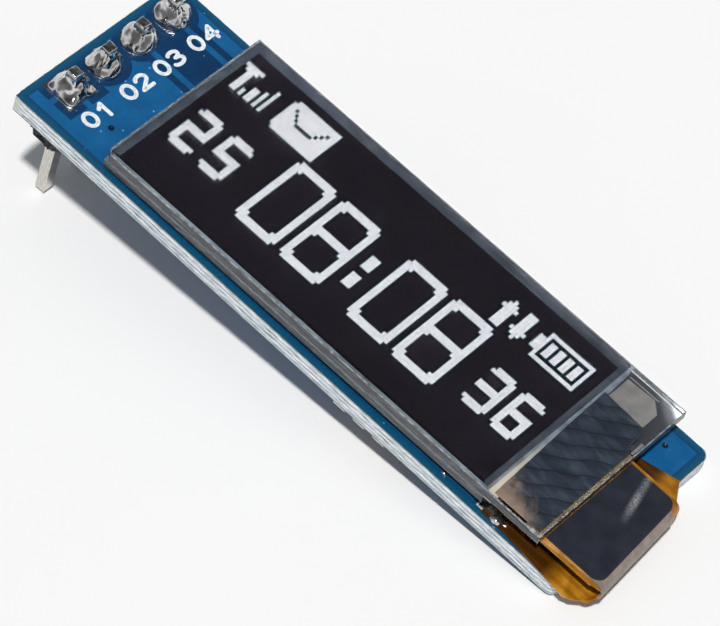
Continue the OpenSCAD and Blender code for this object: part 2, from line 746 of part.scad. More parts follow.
module resistor(i) color("#303030") at_rest() chip_body(RESISTORS[i], resistor_h);
module resistor_1() resistor(0);
module resistor_2() resistor(1);
module resistor_3() resistor(2);
module resistor_4() resistor(3);
module resistor_5() resistor(4);
module resistor_ends() color("silver") at_rest()
    for (p = RESISTORS) chip_ends(p, resistor_h);

// Regulator: a body with drafted sides on three bent leads
module regulator_body() color("#28282a") at_rest() on_back(REGULATOR)
    translate([0, 0, part_z + 0.08]) intersection() {
        w = reg_w / 2;
        l = reg_l / 2;
        h = reg_h;
        rotate([90, 0, 0]) linear_extrude(reg_l, center = true)
            polygon([[0.06 - l, 0], [l - 0.06, 0], [l, h / 2], [l - 0.1, h], [0.1 - l, h], [-l, h / 2]]);
        rotate([90, 0, 90]) linear_extrude(reg_l, center = true)
            polygon([[0.06 - w, 0], [w - 0.06, 0], [w, h / 2], [w - 0.1, h], [0.1 - w, h], [-w, h / 2]]);
    }

module regulator_leads() color("silver") at_rest() on_back(REGULATOR) for (l = LEADS)
    translate([l.x, 0, 0]) rotate(l.y > 0 ? 0 : 180) {
        // side view, from the body's waist down to the foot
        w = reg_w / 2;
        z = part_z + 0.08 + reg_h / 2;
        t = lead_t;
        rotate([90, 0, -90]) linear_extrude(lead_w, center = true)
            polygon([[w, z - t / 2], [w, z + t / 2], [w + 0.2, z + t / 2], [w + 0.35, z],
                     [w + 0.35, part_z + t], [w + 0.6, part_z + t], [w + 0.6, part_z],
                     [w + 0.35 - t, part_z], [w + 0.35 - t, z - t / 2]]);
    }

module part_solder() color("lightgray") at_rest() {
    for (p = CAPACITORS) chip_solder(p, capacitor_h);
    for (p = RESISTORS) chip_solder(p, resistor_h);
    on_back(REGULATOR) for (l = LEADS)
        translate([l.x, -l.y * (reg_w / 2 + 0.42), copper_t])
            linear_extrude(solder_t) square([lead_w + 0.1, 0.4], center = true);
}

// ---------------------------------------------------------------- output

circuit_board();
front_copper();
front_mask();
back_copper();
back_mask();
pin_pads();
header_housing();
header_pin_1();
header_pin_2();
header_pin_3();
header_pin_4();
solder_joint_1();
solder_joint_2();
solder_joint_3();
solder_joint_4();
mounting_tape();
cap_glass();
drying_sheet();
seal_frame();
oled_layers();
lit_picture();
substrate_glass();
polarizer();
ledge_metal();
driver_chip();
ledge_tape();
bond_film();
flex_tail();
bend_film();
flex_tape();
flex_solder();
regulator_body();
regulator_leads();
capacitor_1();
capacitor_2();
capacitor_3();
capacitor_4();
capacitor_5();
capacitor_6();
capacitor_ends();
resistor_1();
resistor_2();
resistor_3();
resistor_4();
resistor_5();
resistor_ends();
part_solder();
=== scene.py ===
# %% [markdown]
# # A small OLED module
# A breakout board with a taped-on display panel, a folded flex tail at one end and
# a soldered pin header at the other. The packed model gives the frame; this script
# dresses it, piece by piece.

# %% Load the frame
import json
import math

import bmesh
import bpy
from mathutils import Matrix, Vector, noise


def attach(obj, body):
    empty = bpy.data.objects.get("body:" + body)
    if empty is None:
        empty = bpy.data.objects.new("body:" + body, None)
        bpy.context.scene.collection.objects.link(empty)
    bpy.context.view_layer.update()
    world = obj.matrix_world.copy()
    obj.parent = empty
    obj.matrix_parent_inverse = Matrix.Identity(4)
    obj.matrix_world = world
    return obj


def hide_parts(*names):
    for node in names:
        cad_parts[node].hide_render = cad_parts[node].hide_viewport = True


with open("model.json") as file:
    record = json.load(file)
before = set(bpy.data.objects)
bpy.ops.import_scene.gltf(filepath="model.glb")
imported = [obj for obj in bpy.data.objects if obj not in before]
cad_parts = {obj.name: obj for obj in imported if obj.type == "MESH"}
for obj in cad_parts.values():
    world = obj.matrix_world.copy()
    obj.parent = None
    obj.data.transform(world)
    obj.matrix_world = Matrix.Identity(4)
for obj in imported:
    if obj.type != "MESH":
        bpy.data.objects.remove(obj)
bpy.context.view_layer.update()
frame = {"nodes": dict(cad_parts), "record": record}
nodes = frame["nodes"]
print("CAD nodes:", len(nodes))

# %% [markdown]
# The module lies on its pin tips and on its far bottom edge, so nothing on it is
# level. Two local frames in millimetres make the work easy: BOARD has Z = 0 on the
# bare front face and X along the board, and PANEL is the same for the display, which
# the fold of the flex lifts a little at its far end. Empties as parents would do the same,
# but plain matrices built from the record's mounts leave the packed nodes alone.

# %% Local frames
MM = 0.001
mounts = {m["name"]: m for m in frame["record"]["mounts"]}


def local_frame(mount, up_sign, known):
    """Matrix from millimetres in a leaning frame to metres in the row frame."""
    up = Vector(mounts[mount]["axis"]) * up_sign
    turn = Matrix.Rotation(math.atan2(up.x, up.z), 4, "Y")
    origin = Vector(mounts[mount]["pos_m"]) - turn @ (Vector(known) * MM)
    return Matrix.Translation(origin) @ turn @ Matrix.Scale(MM, 4)


ROW_X, ROW_Y, PITCH = 1.45, 0.35, 2.54          # the pin row
BACK_Z, HOUSING_Z = -1.155, -3.695              # back of the board, foot of the plastic
FRONT_Z = 0.055                                 # top of the solder mask
BOARD_L, BOARD_W, BOARD_R = 38.0, 12.0, 0.5     # length, width, corner radius
GLASS_X, GLASS_END, GLASS_W = 6.0, 36.0, 11.5   # the front glass
CAP_END = 32.4                                  # the cap ends here and the ledge starts
GLASS_Z, FACE_Z, FILM_Z = 0.855, 1.455, 1.635   # back and front of the glass, film, in PANEL
FACE_X, HINGE_Z = 19.275, 0.305                 # middle of the film; the panel turns on the tape

BOARD = local_frame("pin_header", -1, (ROW_X, ROW_Y, HOUSING_Z))
PANEL = local_frame("display_face", 1, (FACE_X - GLASS_X, 0, FILM_Z - HINGE_Z))
PANEL = PANEL @ Matrix.Translation((-GLASS_X, 0, -HINGE_Z))
PIN_Y = [ROW_Y + (i - 1.5) * PITCH for i in range(4)]
print("board leans", round(math.degrees(BOARD.to_euler().y), 2), "degrees")

# %% [markdown]
# The camera looks from the flex end's lower side, nearly along a diagonal of the
# board, and is rolled a little. It could be aimed with a Track To constraint, but an
# azimuth, an elevation and a roll say the same in three numbers. It stands far away with
# a long lens, because close pictures of small things are mostly taken that way.

# %% Camera
AIM = Vector((1.009, -1.953, 5.0)) * MM
AZIMUTH, ELEVATION, ROLL = (math.radians(a) for a in (37.796, 47.238, 5.07))
DISTANCE, LENS = 0.24, 237.6                    # metres, and the lens in millimetres

forward = Vector((-math.sin(AZIMUTH) * math.cos(ELEVATION),
                  math.cos(AZIMUTH) * math.cos(ELEVATION), -math.sin(ELEVATION)))
level = forward.cross((0, 0, 1)).normalized()
right = level * math.cos(ROLL) + level.cross(forward) * math.sin(ROLL)
up = right.cross(forward)
camera = bpy.data.objects.new("camera", bpy.data.cameras.new("camera"))
camera.matrix_world = Matrix.Translation(AIM - forward * DISTANCE) @ Matrix(
    (right, up, -forward)).transposed().to_4x4()
camera.data.lens = LENS
camera.data.sensor_width = 36
camera.data.clip_start = 0.01
bpy.context.scene.collection.objects.link(camera)
bpy.context.scene.camera = camera
print("camera at", [round(v, 3) for v in camera.location])

# %% [markdown]
# A plain white table carries the shadow, as in any catalogue picture. A curved backdrop
# could hide the horizon, but the camera looks down and never sees one, so one large
# square is enough.

# %% Floor
scene = bpy.context.scene
scene.view_settings.view_transform = "Standard"


def link(obj):
    """Puts an object into the scene."""
    scene.collection.objects.link(obj)
    return obj


S = 3.0                                         # half the floor's side, in metres
floor_mesh = bpy.data.meshes.new("floor")
floor_mesh.from_pydata([(-S, -S, 0), (S, -S, 0), (S, S, 0), (-S, S, 0)], [], [(0, 1, 2, 3)])
floor = link(bpy.data.objects.new("floor", floor_mesh))
print("floor of", 2 * S, "m")

# %% [markdown]
# One fairly small light stands high above the camera, so that the shadow falls back
# under the raised board. An area lamp would do too, but a sun gives the same strength
# everywhere, and its angle alone sets how soft the shadow's edge is.

# %% Key light
KEY_FROM = Vector((0.29, -0.37, 0.88)).normalized()
sun = bpy.data.lights.new("key", "SUN")
sun.energy = 3.05
sun.angle = math.radians(3.2)
sun.color = (1.0, 0.985, 0.965)
key = link(bpy.data.objects.new("key", sun))
key.rotation_euler = KEY_FROM.to_track_quat("Z", "Y").to_euler()
print("key light from", [round(v, 2) for v in KEY_FROM])

# %% [markdown]
# A pale, slightly blue room fills the shadow in. Shiny things see another room than
# matte ones: bright near the horizon and dark overhead, which keeps solder and glass
# contrasty. Real studios do this with cards and flags; a Light Path node does it here
# without any more lamps.

# %% Room
world = bpy.data.worlds.new("room")
scene.world = world
world.use_nodes = True
room = world.node_tree
matte = room.nodes["Background"]
matte.inputs["Color"].default_value = (0.88, 0.94, 1.0, 1)
matte.inputs["Strength"].default_value = 0.27
shiny = room.nodes.new("ShaderNodeBackground")
direction = room.nodes.new("ShaderNodeTexCoord")
split = room.nodes.new("ShaderNodeSeparateXYZ")
sky = room.nodes.new("ShaderNodeValToRGB")
SKY_GREYS = ((0.0, 1.0), (0.34, 0.24), (1.0, 0.03))        # height and brightness
for k, (height, grey) in enumerate(SKY_GREYS):
    stop = sky.color_ramp.elements[k] if k < 2 else sky.color_ramp.elements.new(1.0)
    stop.position = height
    stop.color = (grey, grey, grey * 1.04, 1)
path = room.nodes.new("ShaderNodeLightPath")
choose = room.nodes.new("ShaderNodeMixShader")
for start, end in (
        (direction.outputs["Generated"], split.inputs[0]), (split.outputs["Z"], sky.inputs["Fac"]),
        (sky.outputs["Color"], shiny.inputs["Color"]),
        (path.outputs["Is Glossy Ray"], choose.inputs[0]),
        (matte.outputs[0], choose.inputs[1]), (shiny.outputs[0], choose.inputs[2]),
        (choose.outputs[0], room.nodes["World Output"].inputs[0])):
    room.links.new(start, end)
print("room with", len(room.nodes), "nodes")

# %% [markdown]
# Colours are easiest to judge as the 0-255 values a screen shows, but shaders work in
# linear light, so one small function turns the first into the second.

# %% Colour values
def lin(r, g, b):
    """Linear colour from 0-255 display values."""
    return tuple((c / 12.92 if c <= 0.04045 else ((c + 0.055) / 1.055) ** 2.4)
                 for c in (r / 255, g / 255, b / 255)) + (1.0,)


print("mid grey is", round(lin(128, 128, 128)[0], 3))

# %% [markdown]
# Materials are small node graphs. They could be wired by hand in the editor; written in
# code they stay short if a helper does the wiring. It comes in three steps. The first
# starts a material whose coordinates are millimetres in the board's or panel's frame, so
# every pattern has the real object's scale.

# %% Node graphs
class Graph:
    """A material with its shader, and coordinates in millimetres."""

    def __init__(self, name, base=None, rough=0.5, metal=0.0, place=None, **sockets):
        self.material = bpy.data.materials.new(name)
        self.material.use_nodes = True
        self.tree = self.material.node_tree
        self.shader = self.tree.nodes["Principled BSDF"]
        if base:
            self.shader.inputs["Base Color"].default_value = base
        self.shader.inputs["Roughness"].default_value = rough
        self.shader.inputs["Metallic"].default_value = metal
        for socket, value in sockets.items():
            self.shader.inputs[socket.replace("_", " ")].default_value = value
        mapping = self.add("ShaderNodeMapping")
        mapping.vector_type = "TEXTURE"
        where, turn, _ = (place or BOARD).decompose()
        mapping.inputs["Location"].default_value = where
        mapping.inputs["Rotation"].default_value = turn.to_euler()
        mapping.inputs["Scale"].default_value = (MM, MM, MM)
        self.join(self.add("ShaderNodeTexCoord").outputs["Object"], mapping.inputs["Vector"])
        self.mm = mapping.outputs[0]

    def add(self, kind, **values):
        node = self.tree.nodes.new(kind)
        for k, v in values.items():
            if hasattr(node, k):
                setattr(node, k, v)
            else:
                node.inputs[k.replace("_", " ")].default_value = v
        return node

    def join(self, a, b):
        self.tree.links.new(a, b)

    def feed(self, target, value):
        """Links a socket, or sets a plain value."""
        if isinstance(value, bpy.types.NodeSocket):
            self.join(value, target)
        else:
            target.default_value = value


# %% [markdown]
# The second step adds the patterns: noise for anything uneven, cells for grains, sums
# and ramps to turn a coordinate into a colour. Pictures of real surfaces could be
# wrapped on instead, but patterns need no unwrapping and stay sharp at any distance.

# %% Patterns
class Patterns(Graph):
    """Textures and sums over those coordinates."""

    def stretched(self, scale):
        """Coordinates for a pattern that runs long or short along an axis."""
        node = self.add("ShaderNodeMapping")
        node.inputs["Scale"].default_value = scale
        self.join(self.mm, node.inputs["Vector"])
        return node.outputs[0]

    def axis(self, i):
        node = self.add("ShaderNodeSeparateXYZ")
        self.join(self.mm, node.inputs[0])
        return node.outputs[i]

    def noise(self, scale, detail=3.0, vector=None, distortion=0.0):
        node = self.add("ShaderNodeTexNoise", Scale=scale, Detail=detail,
                        Roughness=0.5, Distortion=distortion)
        self.join(vector or self.mm, node.inputs["Vector"])
        return node.outputs["Fac"]

    def cells(self, scale):
        node = self.add("ShaderNodeTexVoronoi", feature="F1", Scale=scale)
        self.join(self.mm, node.inputs["Vector"])
        return node.outputs["Distance"]

    def math(self, op, a, b=0.0, c=0.0):
        node = self.add("ShaderNodeMath", operation=op)
        for socket, value in zip(node.inputs, (a, b, c)):
            self.feed(socket, value)
        return node.outputs[0]

    def ramp(self, fac, *stops, smooth=False):
        """Turns a number into a grey or a colour; each stop is a place and a value."""
        node = self.add("ShaderNodeValToRGB")
        ramp = node.color_ramp
        if smooth:
            ramp.interpolation = "EASE"
        for i, (spot, colour) in enumerate(stops):
            stop = ramp.elements[i] if i < 2 else ramp.elements.new(spot)
            stop.position = spot
            stop.color = colour if isinstance(colour, tuple) else (colour,) * 3 + (1,)
        self.join(fac, node.inputs["Fac"])
        return node.outputs["Color"]

    def mix(self, fac, a, b):
        node = self.add("ShaderNodeMix", data_type="RGBA")
        self.feed(node.inputs["Factor"], fac)
        self.feed(node.inputs[6], a)
        self.feed(node.inputs[7], b)
        return node.outputs[2]


print("patterns:", ", ".join(n for n in vars(Patterns) if n[0] != "_"))

# %% [markdown]
# The last step joins patterns to the shader: a colour, a roughness between two limits,
# and one bump after another. Fine relief could be real geometry, and larger forms are;
# what is finer than a few hundredths of a millimetre is left to bump.

# %% Looks
class Look(Patterns):
    """A finish: patterns joined to the shader."""

    def colour(self, value):
        self.feed(self.shader.inputs["Base Color"], value)
        return self

    def rough(self, value, low=0.0, high=1.0):
        node = self.add("ShaderNodeMapRange", To_Min=low, To_Max=high)
        self.join(value, node.inputs["Value"])
        self.join(node.outputs[0], self.shader.inputs["Roughness"])
        return self

    def bump(self, height, distance, strength=1.0):
        """Bump whose height of 1 stands for distance millimetres."""
        node = self.add("ShaderNodeBump", Strength=strength, Distance=distance * MM)
        self.join(height, node.inputs["Height"])
        last = self.shader.inputs["Normal"]
        if last.is_linked:
            self.join(last.links[0].from_socket, node.inputs["Normal"])
        self.join(node.outputs[0], last)
        return self


def wear(names, look):
    """Gives a look to CAD nodes or pieces."""
    for n in names:
        obj = nodes[n] if isinstance(n, str) else n
        obj.data.materials.clear()
        obj.data.materials.append(look.material)
        print(obj.name, "wears", look.material.name)


# %% [markdown]
# The table is matte white with a very faint mottle, so that it isn't one flat value. A
# painted board looks like this close up, and a ramp over large noise is all it takes.

# %% Table
table = Look("table", rough=0.75, place=Matrix.Scale(MM, 4))
table.colour(table.ramp(table.noise(0.03, 2), (0.3, (0.86, 0.86, 0.86, 1)),
                        (0.7, (0.875, 0.875, 0.875, 1))))
table.bump(table.noise(2.5, 4), 0.02, 0.3)
wear([floor], table)

# %% [markdown]
# ## Building blocks
# Pieces are made in millimetres, in one of the two local frames, and then placed. Each
# wears a look and names the CAD node it stands for, if any. The same could be done with
# primitives and operators; meshes built from numbers are exact and come out the same each time.

# %% Piece helpers

def piece(name, mesh, place, look, replaces=(), smooth=False):
    """Links a mesh made in millimetres as a piece of the object."""
    if isinstance(mesh, bmesh.types.BMesh):
        source, mesh = mesh, bpy.data.meshes.new(name)
        source.to_mesh(mesh)
        source.free()
    mesh.transform(place)
    if smooth:
        mesh.polygons.foreach_set("use_smooth", [True] * len(mesh.polygons))
    obj = link(bpy.data.objects.new(name, mesh))
    wear([obj], look)
    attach(obj, "root")
    if replaces:
        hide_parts(*replaces)
    print(f"{name}: {len(mesh.polygons)} faces")
    return obj


def cad_copy(node, place):
    """A CAD node's mesh in millimetres, in a local frame."""
    bm = bmesh.new()
    bm.from_mesh(nodes[node].data)
    bm.transform(place.inverted())
    bmesh.ops.remove_doubles(bm, verts=bm.verts, dist=0.001)
    return bm


def fbm(v, scale, seed=0.0, octaves=3):
    """Smooth noise of about -1 to 1."""
    return noise.fractal(Vector(v) * scale + Vector((seed, seed * 1.7, -seed)), 0.6, 2.1, octaves)


# %% [markdown]
# Thin lifted things, such as a taped corner or a coat of lacquer, start as a flat
# outline. Filling it with an even net of points lets a height be given at each of them;
# a subdivided and cut plane would leave ragged sides.

# %% Filled sheets
from mathutils.geometry import delaunay_2d_cdt


def inside(x, y, outline):
    """Whether a point lies within an outline."""
    hit = False
    for (x0, y0), (x1, y1) in zip(outline, outline[1:] + outline[:1]):
        if (y0 > y) != (y1 > y) and x < (x1 - x0) * (y - y0) / (y1 - y0) + x0:
            hit = not hit
    return hit


def sheet(outline, step, height, skirt):
    """An outline filled with a fine mesh, lifted by height(x, y), with sides going down."""
    rim = []
    for (x0, y0), (x1, y1) in zip(outline, outline[1:] + outline[:1]):
        n = max(1, round(math.hypot(x1 - x0, y1 - y0) / step))
        rim += [(x0 + (x1 - x0) * k / n, y0 + (y1 - y0) * k / n) for k in range(n)]
    xs, ys = zip(*outline)
    grid = []
    for i in range(int((max(xs) - min(xs)) / step) + 1):
        for j in range(int((max(ys) - min(ys)) / step) + 1):
            x, y = min(xs) + (i + 0.5) * step, min(ys) + (j + 0.5 * (i % 2)) * step
            near = any(abs(x - a) + abs(y - b) < 0.6 * step for a, b in rim)
            if inside(x, y, outline) and not near:
                grid.append((x, y))
    edges = [(k, (k + 1) % len(rim)) for k in range(len(rim))]
    verts, _, faces, *_ = delaunay_2d_cdt([Vector(v) for v in rim + grid], edges, [], 1, 1e-6)
    bm = bmesh.new()
    made = [bm.verts.new((v.x, v.y, height(v.x, v.y))) for v in verts]
    for f in faces:
        bm.faces.new([made[k] for k in f])
    border = [e for e in bm.edges if e.is_boundary]
    down = bmesh.ops.extrude_edge_only(bm, edges=border)["geom"]
    for v in down:
        if isinstance(v, bmesh.types.BMVert):
            v.co.z = skirt
    bmesh.ops.recalc_face_normals(bm, faces=bm.faces)
    return bm


# %% [markdown]
# ## The board
# The laminate shows along its sides. There the glass cloth is cut through: pale wavy
# bands with thin dark lines between them, and a lower edge torn by the router. The CAD
# board keeps its place, and a finely divided strip round it carries the torn surface.
# Displacing the board itself would also do, but it would move its drilled holes too.

# %% Round the board

def board_side(step=0.085):
    """Points and outward normals round the board's outline."""
    r, side, points = BOARD_R, BOARD_W / 2, []
    corners = [(r, r - side, 180), (BOARD_L - r, r - side, 270),
               (BOARD_L - r, side - r, 0), (r, side - r, 90)]
    for k, (cx, cy, a0) in enumerate(corners):
        for i in range(9):
            a = math.radians(a0 + 90 * i / 8)
            points.append((cx + r * math.cos(a), cy + r * math.sin(a), math.cos(a), math.sin(a)))
        nx, ny, _ = corners[(k + 1) % 4]
        a = math.radians(a0 + 90)
        start = points[-1]
        end = (nx + r * math.cos(a), ny + r * math.sin(a))
        n = round(math.hypot(end[0] - start[0], end[1] - start[1]) / step)
        points += [(start[0] + (end[0] - start[0]) * i / n, start[1] + (end[1] - start[1]) * i / n,
                    math.cos(a), math.sin(a)) for i in range(1, n)]
    return points


print("points round the board:", len(board_side()))

# %% [markdown]
# Each point carries a column of vertices down the side. How deep a vertex lies in a
# parting line is also stored on it, so that the material can darken the same places.

# %% Laminate strip
LAYERS = (-0.30, -0.60, -0.86)            # where the cloth layers part
STRIP_TOP, STRIP_H, ROWS = -0.003, 1.105, 22


def parting(k, s):
    """Height of one dark line at s millimetres along the side."""
    return (LAYERS[k] + 0.05 * noise.noise((s * 0.55, k * 7.1, 3))
            + 0.022 * noise.noise((s * 2.3, k * 5.3, 8)))


strip = bmesh.new()
groove = strip.verts.layers.float.new("groove")
ring, s, last = [], 0.0, None
for x, y, nx, ny in board_side():
    if last:
        s += math.hypot(x - last[0], y - last[1])
    last = (x, y)
    column = []
    tear = 0.075 * max(0, fbm((s, 0, 0), 1.4, 2)) + 0.05 * fbm((s, 0, 5), 5, 3)
    for j in range(ROWS + 1):
        z = STRIP_TOP - (STRIP_H - tear) * j / ROWS
        deep = sum(math.exp(-((z - parting(k, s)) / 0.032) ** 2)
                   * (0.65 + 0.5 * noise.noise((s * 1.1, k * 3.0, 1))) for k in range(3))
        out = 0.060 + 0.018 * fbm((s * 0.6, 0, z * 2.5), 3.0, 5) - 0.048 * min(1, deep)
        out -= 0.12 * max(0, j / ROWS - 0.86) * (1.2 + fbm((s, 0, 0), 3, 9)) / 0.14
        v = strip.verts.new((x + nx * out, y + ny * out, z))
        v[groove] = min(1, max(0, deep + 0.35 * max(0, -fbm((s * 0.5, 0, z * 3), 4, 6))))
        column.append(v)
    ring.append(column)
for a, b in zip(ring, ring[1:] + ring[:1]):
    for j in range(ROWS):
        strip.faces.new((a[j], a[j + 1], b[j + 1], b[j]))
bmesh.ops.recalc_face_normals(strip, faces=strip.faces)
print("laminate columns:", len(ring))

# %% [markdown]
# Cut glass cloth looks like pale stretched fibres. The dark lines come from the stored
# depth, and the plain core under the strip only shows inside the drilled holes.

# %% Laminate look
laminate = Look("laminate", rough=0.55)
parted = laminate.add("ShaderNodeAttribute", attribute_name="groove").outputs["Fac"]
fibre = laminate.noise(2.2, 4, laminate.stretched((0.8, 0.8, 7)), distortion=0.6)
pale = laminate.ramp(fibre, (0.30, lin(158, 172, 182)), (0.48, lin(206, 215, 222)),
                     (0.60, lin(240, 243, 244)), (0.8, lin(184, 196, 206)))
lines = laminate.ramp(parted, (0.12, 0.0), (0.6, 0.95))
laminate.colour(laminate.mix(lines, pale, lin(84, 92, 98)))
laminate.bump(fibre, 0.03, 0.7)
piece("laminate_edge", strip, BOARD, laminate, smooth=True)
core = Look("laminate_core", rough=0.7)
core.colour(core.ramp(core.noise(3, 3), (0.3, lin(170, 178, 170)), (0.7, lin(208, 212, 202))))
core.bump(core.cells(6), 0.02, 0.5)
wear(["circuit_board"], core)

# %% [markdown]
# The solder mask is a glossy blue lacquer: bright over the copper pour, darker over bare
# laminate, and lighter again near the sides, where light leaks in. Where it runs over
# copper it stands up by the copper's thickness. One mask with painted traces would look
# printed, so the colour is a material and the raised copper is a piece of its own.

# %% Solder mask
def mask_look(name, low, high, edge):
    """Blue lacquer between two tones, with another tone near the board's sides."""
    look = Look(name, rough=0.24, Coat_Weight=0.3, Coat_Roughness=0.1)
    x, y = look.axis(0), look.axis(1)
    to_end = look.math("MINIMUM", x, look.math("SUBTRACT", BOARD_L, x))
    to_side = look.math("SUBTRACT", BOARD_W / 2, look.math("ABSOLUTE", y))
    near = look.ramp(look.math("MINIMUM", to_end, to_side), (0.0, 1.0), (0.75, 0.0), smooth=True)
    cloud = look.noise(0.8, 4)
    colour = look.mix(near, look.ramp(cloud, (0.3, low), (0.7, high)), edge)
    dust = look.ramp(look.cells(1.1), (0.045, 1.0), (0.06, 0.0))
    look.colour(look.mix(dust, colour, lin(120, 170, 200)))
    look.rough(look.noise(3, 3), 0.18, 0.34)
    look.bump(look.noise(5, 4), 0.012, 0.4)
    return look


mask_dark = mask_look("mask_dark", lin(4, 46, 84), lin(8, 56, 98), lin(14, 78, 112))
mask_bright = mask_look("mask_bright", lin(8, 80, 132), lin(18, 94, 146), lin(16, 92, 140))
wear(["front_mask", "back_mask"], mask_dark)

# %% [markdown]
# The raised areas take the copper's own outline from the CAD nodes, so trace and lacquer
# can't part. An inset softens their shoulders, as thick lacquer does.

# %% Mask over the copper
RISE, SHOULDER = 0.022, 0.05


def relief(name, node, side, keep):
    """The mask where it runs over copper: the copper's own outline, raised and softened."""
    bm = cad_copy(node, BOARD)
    far = max(v.co.z * side for v in bm.verts)
    drop = [f for f in bm.faces
            if any(abs(v.co.z * side - far) > 0.003 for v in f.verts)
            or not keep(f.calc_center_median())]
    bmesh.ops.delete(bm, geom=drop, context="FACES")
    for v in bm.verts:
        v.co.z = FRONT_Z + 0.002 if side > 0 else BACK_Z - 0.002
    bmesh.ops.inset_region(bm, faces=bm.faces[:], thickness=SHOULDER, depth=0, use_even_offset=True)
    for v in bm.verts:
        if not v.is_boundary:
            v.co.z += RISE * side
    return piece(name, bm, BOARD, mask_bright)


def off_the_pads(c):
    """Away from the window where the flex is soldered down."""
    return not (32.1 < c.x < 34.3 and abs(c.y + 1.35) < 4.4)


# the parts on the back, which sit on bare pads
PART_AT = ([(23.2 + 1.35 * i, -4.75) for i in range(3)] + [(13.4, -3.2), (17.2, 3.9), (27.6, 3.2)]
           + [(7.2, -4), (9, -4), (20.8, 3.9), (30.2, 1.6), (30.2, -2.2), (9.6, 2.4)])
relief("pour_front", "front_copper", 1, off_the_pads)
relief("pour_back", "back_copper", -1,
       lambda c: all(abs(c.x - x) + abs(c.y - y) > 2.2 for x, y in PART_AT))

# %% [markdown]
# The small vias are tented: the lacquer sags into them as a glossy dimple, and its dark
# colour is painted shade, the shade of the hole under it. Bump alone would vanish at this
# size, so each is a little dished plug on both faces.

# %% Vias
VIA_AT = [(4.55, -3.6), (8.2, PIN_Y[2]), (9.4, PIN_Y[3]), (15, -4.4), (22, 4.6), (27, -2),
          (36.15, 4.6)]
DIMPLE = ((0.17, 0.02), (0.145, 0.026), (0.12, 0.012), (0.085, -0.03), (0.045, -0.045))


def circle(bm, x, y, r, z, n, wobble=lambda k: 0):
    """A ring of n vertices."""
    return [bm.verts.new((x + r * math.cos(math.tau * k / n) * (1 + wobble(k)),
                          y + r * math.sin(math.tau * k / n), z)) for k in range(n)]


def skin(bm, rings):
    """Faces between each ring and the next."""
    for a, b in zip(rings, rings[1:]):
        for k in range(len(a)):
            bm.faces.new((a[k], a[(k + 1) % len(a)], b[(k + 1) % len(a)], b[k]))


plugs = bmesh.new()
for x, y in VIA_AT:
    for side, z in ((1, FRONT_Z), (-1, BACK_Z)):
        rings = [circle(plugs, x, y, r, z + side * dz, 20) for r, dz in DIMPLE]
        skin(plugs, rings)
        plugs.faces.new(rings[-1])
bmesh.ops.recalc_face_normals(plugs, faces=plugs.faces)
# the plugs' dark tones are painted shade of the via holes
dimple_shade = Look("dimple_shade_via", rough=0.15)
dimple_shade.colour(dimple_shade.ramp(dimple_shade.noise(5, 2), (0.3, lin(2, 20, 42)), (0.7, lin(6, 36, 64))))
dimple_shade.bump(dimple_shade.noise(20, 2), 0.01, 0.4)
piece("via_dimples", plugs, BOARD, dimple_shade, smooth=True)

# %% [markdown]
# ## Numbers by the pins
# White ink beside the pads, one plain number for each pin. A text object would need a
# font; a few strokes with round ends look like screen printing and are always the same.

# %% Strokes
def arc(cx, cy, rx, ry, a0, a1, n):
    """Points of a curve on a digit's own square, between two angles."""
    return [(cx + rx * math.cos(math.radians(a0 + (a1 - a0) * k / n)),
             cy + ry * math.sin(math.radians(a0 + (a1 - a0) * k / n))) for k in range(n + 1)]


STROKES = {
    "0": [arc(0.5, 0.5, 0.46, 0.5, 0, 360, 24)],
    "1": [[(0.15, 0.72), (0.55, 1.0), (0.55, 0.0)]],
    "2": [arc(0.5, 0.7, 0.46, 0.3, 165, -35, 12) + [(0.03, 0.0), (1.0, 0.0)]],
    "3": [arc(0.46, 0.76, 0.44, 0.24, 150, -90, 12) + arc(0.46, 0.26, 0.5, 0.26, 90, -150, 14)],
    "4": [[(0.78, 0.0), (0.78, 1.0), (0.0, 0.3), (1.0, 0.3)]],
}


def ribbon(bm, points, width, z):
    """A flat stroke with round ends and joints, drawn in the plane z."""
    half = width / 2
    for p, q in zip(points, points[1:]):
        d = (Vector(q) - Vector(p)).normalized() * half
        n = Vector((-d.y, d.x))
        corners = [Vector(p) + n, Vector(p) - n, Vector(q) - n, Vector(q) + n]
        bm.faces.new([bm.verts.new((c.x, c.y, z)) for c in corners])
    for i, p in enumerate(points):
        z += 0.00002
        bm.faces.new([bm.verts.new((p[0] + half * math.cos(math.tau * k / 14),
                                    p[1] + half * math.sin(math.tau * k / 14), z))
                      for k in range(14)])


print("digits drawn:", " ".join(STROKES))

# %% [markdown]
# Screen ink is chalky and nearly white, and lies a little above the lacquer. The numbers
# stand upright for a reader who looks along the board from the panel.

# %% Ink numbers
ink = Look("ink", rough=0.55)
ink.colour(ink.ramp(ink.noise(6, 3), (0.35, lin(206, 218, 228)), (0.65, lin(238, 244, 248))))
ink.bump(ink.noise(14, 2), 0.01, 0.5)

DIGIT_W, DIGIT_H, STROKE = 0.74, 0.86, 0.23
LABEL_X = 3.95                              # foot of the digits
LABEL_Y = [-3.55, -0.7, 1.8, 4.4]           # middles of the four numbers
numbers = bmesh.new()
for i, middle in enumerate(LABEL_Y):
    for k, char in enumerate(f"0{i + 1}"):
        y0 = middle + (k - 1) * (DIGIT_W + 0.32) + 0.16
        for stroke in STROKES[char]:
            ribbon(numbers, [(LABEL_X - v * DIGIT_H, y0 + u * DIGIT_W) for u, v in stroke],
                   STROKE, FRONT_Z + 0.03)
piece("ink_numbers", numbers, BOARD, ink)

# %% [markdown]
# ## Pins and solder
# Each joint is hand-soldered: a glossy bell that leans a little, climbs the square pin and
# wets its cut end. It is turned as rings that change from round (square on the first pad)
# to the pin's square section, and then pushed about by smooth noise. Fluid simulation
# could make such shapes, but not at the same place each time.

